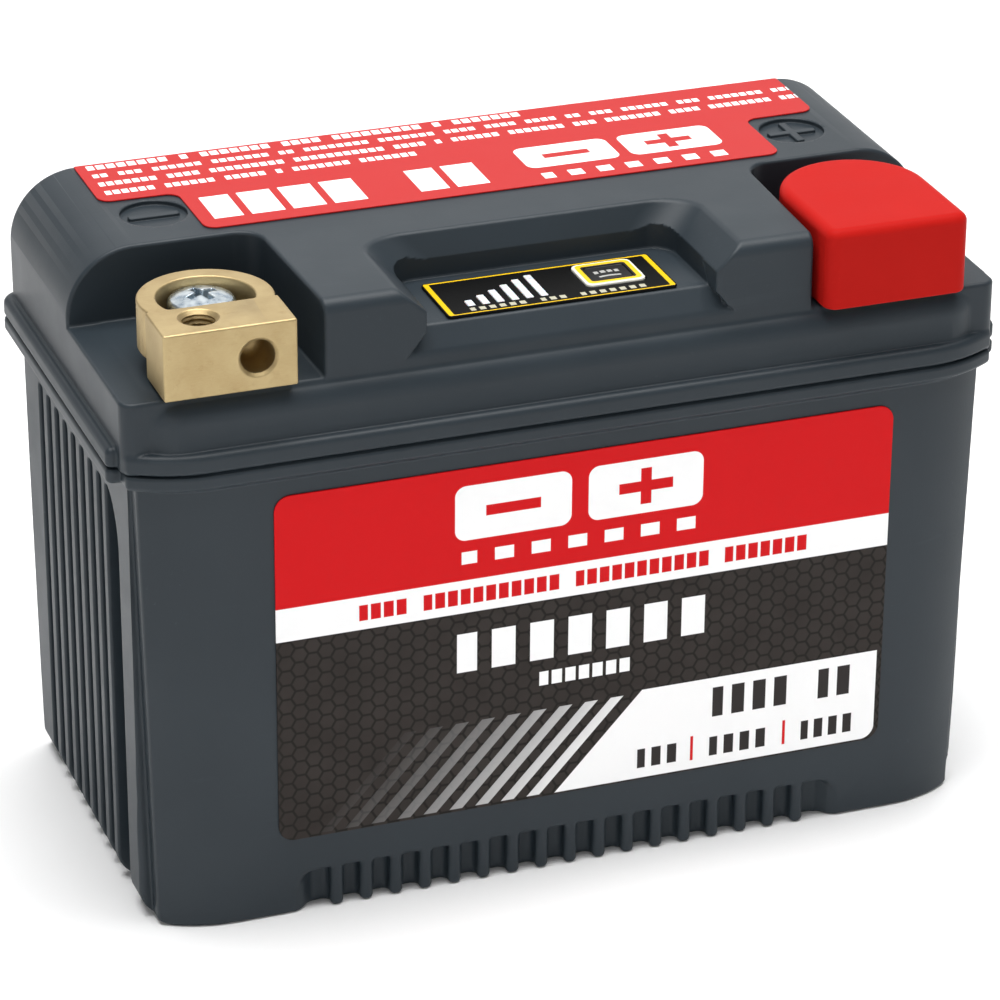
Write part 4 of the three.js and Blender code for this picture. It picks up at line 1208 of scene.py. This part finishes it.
def cell_wrap():
    """Shrink wrap on a cell, with faint shrink lines round it."""
    look = Look("cell_shrink_wrap")
    lines = look.noise(1.2, 3, (8, 8, 0.5))
    colour = look.mix(look.noise(14, 3).ramp(0.3, 0.7), linear(28, 84, 132), linear(40, 104, 154))
    look.set(Base_Color=colour, Roughness=lines * 0.16 + 0.22)
    look.relief(lines, 0.04)
    return look.material


def inner_looks():
    """Material of each carried-over CAD node, by the record's slot name."""
    return {
        "seal_rubber": speckled("seal_rubber_look", (24, 24, 25), (34, 34, 35), 3, 0.7, 0.03),
        "brass": brass(),
        "circuit_board": circuit_board(),
        "black_plastic": speckled("switch_plastic", (26, 26, 27), (38, 38, 39), 2, 0.45, 0.02),
        "cell_can": cell_wrap(),
        "holder_plastic": speckled("holder_plastic_look", (52, 54, 56), (66, 68, 70), 6, 0.55, 0.04),
        "nickel": speckled("nickel_strip", (196, 192, 182), (216, 213, 205), 4, 0.3, 0.015, 1.0),
        "foam": speckled("cell_foam", (40, 41, 44), (62, 63, 66), 1.6, 0.9, 0.25),
        "lead_black": speckled("lead_black_sleeve", (22, 22, 23), (32, 32, 33), 5, 0.5, 0.02),
        "lead_red": speckled("lead_red_sleeve", (150, 20, 22), (172, 30, 30), 5, 0.5, 0.02),
        "led": speckled("led_lens", (214, 220, 200), (236, 240, 226), 0.8, 0.25, 0.005),
        "zinc_steel": zinc(),
    }


# ---------------------------------------------------------------- assembly

def place_piece(piece, body, slot, *nodes):
    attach(piece, body)
    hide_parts(*nodes)


def repaint_inside(replaced):
    """Gives every carried-over CAD node the material of its slot."""
    looks = inner_looks()
    for name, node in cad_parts.items():
        if name in replaced:
            continue
        slots = node.material_slots
        wanted = [s for s in looks if any(s in (m.material.name if m.material else "") for m in slots)]
        chosen = looks[wanted[0]] if wanted else looks["holder_plastic"]
        for material_slot in slots:
            material_slot.material = chosen


def build_battery():
    plastic = moulded_plastic("case_moulding", linear(35, 43, 49), linear(40, 48, 54), 0.28)
    red_plastic = moulded_plastic("cap_moulding", linear(170, 24, 20), linear(177, 29, 24), 0.03)
    metal = brass()
    zinc_look = zinc()
    milky = light_pipe()
    pieces = [
        (build_case(plastic), "battery", "case_plastic", ["case"]),
        (build_lid(plastic), "battery", "case_plastic", ["lid"]),
        (build_front_label(front_label_print()), "battery", "front_label", ["front_label"]),
        (build_top_label(top_label_print()), "battery", "top_label", ["top_label"]),
        (build_panel(display_print()), "battery", "display_panel", ["display_panel"]),
        (build_button(button_print()), "button", "button_film", ["test_button"]),
        (build_cap(red_plastic), "positive_cap", "cap_plastic", ["positive_terminal_cap"]),
    ]
    for pole in ("negative", "positive"):
        pieces += [
            (build_block(pole, metal), "battery", "brass", [pole + "_terminal_block"]),
            (build_screw(pole, zinc_look), "battery", "zinc_steel", [pole + "_terminal_screw"]),
            (build_washer(pole, zinc_look), "battery", "zinc_steel", [pole + "_terminal_washer"]),
        ]
    for bar in BARS:
        pieces.append((build_bar(bar, milky), "battery", "light_pipe", [bar]))
    replaced = set()
    for piece, body, slot, nodes in pieces:
        place_piece(piece, body, slot, *nodes)
        replaced.update(nodes)
    repaint_inside(replaced)


# ---------------------------------------------------------------- studio

CAMERA_PLACE = (-280.69, -770.535, 455.817)
CAMERA_TURN = (19.95, 25.871, 0.201)
CAMERA_LENS = 164.85
CAMERA_SHIFT = (0.0041, 0.0109)


def build_camera():
    """Long lens from the front left, looking down."""
    yaw, pitch, roll = (math.radians(angle) for angle in CAMERA_TURN)
    forward = Vector((math.sin(yaw) * math.cos(pitch), math.cos(yaw) * math.cos(pitch), -math.sin(pitch)))
    level = Vector((math.cos(yaw), -math.sin(yaw), 0))
    upright = level.cross(forward)
    right = level * math.cos(roll) + upright * math.sin(roll)
    up = upright * math.cos(roll) - level * math.sin(roll)
    data = bpy.data.cameras.new("camera")
    data.sensor_width = 36
    data.lens = CAMERA_LENS
    data.shift_x, data.shift_y = CAMERA_SHIFT
    data.clip_start = 0.01
    data.clip_end = 50
    camera = add_object("camera", data)
    turn = Matrix((right, up, -forward)).transposed().to_4x4()
    camera.matrix_world = Matrix.Translation(Vector(CAMERA_PLACE) * MM) @ turn
    bpy.context.scene.camera = camera


def add_light(name, place, target, size, power):
    data = bpy.data.lights.new(name, "AREA")
    data.shape = "RECTANGLE"
    data.size, data.size_y = size
    data.energy = power
    light = add_object(name, data)
    light.location = place
    aim = Vector(target) - Vector(place)
    light.rotation_euler = aim.to_track_quat("-Z", "Y").to_euler()


def build_studio():
    world = bpy.data.worlds.new("studio")
    world.use_nodes = True
    background = world.node_tree.nodes["Background"]
    background.inputs["Color"].default_value = (1, 1, 1, 1)
    tree = world.node_tree
    direction = tree.nodes.new("ShaderNodeTexCoord").outputs["Generated"]
    split = tree.nodes.new("ShaderNodeSeparateXYZ")
    tree.links.new(direction, split.inputs[0])
    strength = Value(tree, split.outputs[2]).ramp(0.42, 0.1) * 0.8 + 0.18
    tree.links.new(strength.socket, background.inputs["Strength"])
    bpy.context.scene.world = world
    add_light("back_sheet", (0.6, 2.3, 1.7), (0, 0, 0.1), (3.0, 2.2), 18.5)
    add_light("overhead", (0.0, 0.0, 1.3), (0, 0, 0.08), (1.2, 0.8), 26)
    add_light("front_left", (-0.6, -1.5, 0.6), (0, 0, 0.06), (0.9, 0.9), 3.2)
    half = 4.0
    mesh = bpy.data.meshes.new("floor")
    corners = [(-half, -half, 0), (half, -half, 0), (half, half, 0), (-half, half, 0)]
    mesh.from_pydata(corners, [], [(0, 1, 2, 3)])
    floor = add_object("floor", mesh)
    look = Look("pale_floor", roughness=0.9)
    look.set(Base_Color=look.mix(look.noise(400, 2), (0.93, 0.93, 0.93, 1), (0.95, 0.95, 0.95, 1)))
    mesh.materials.append(look.material)
    bpy.context.scene.view_settings.view_transform = "Standard"


build_camera()
build_studio()
build_battery()
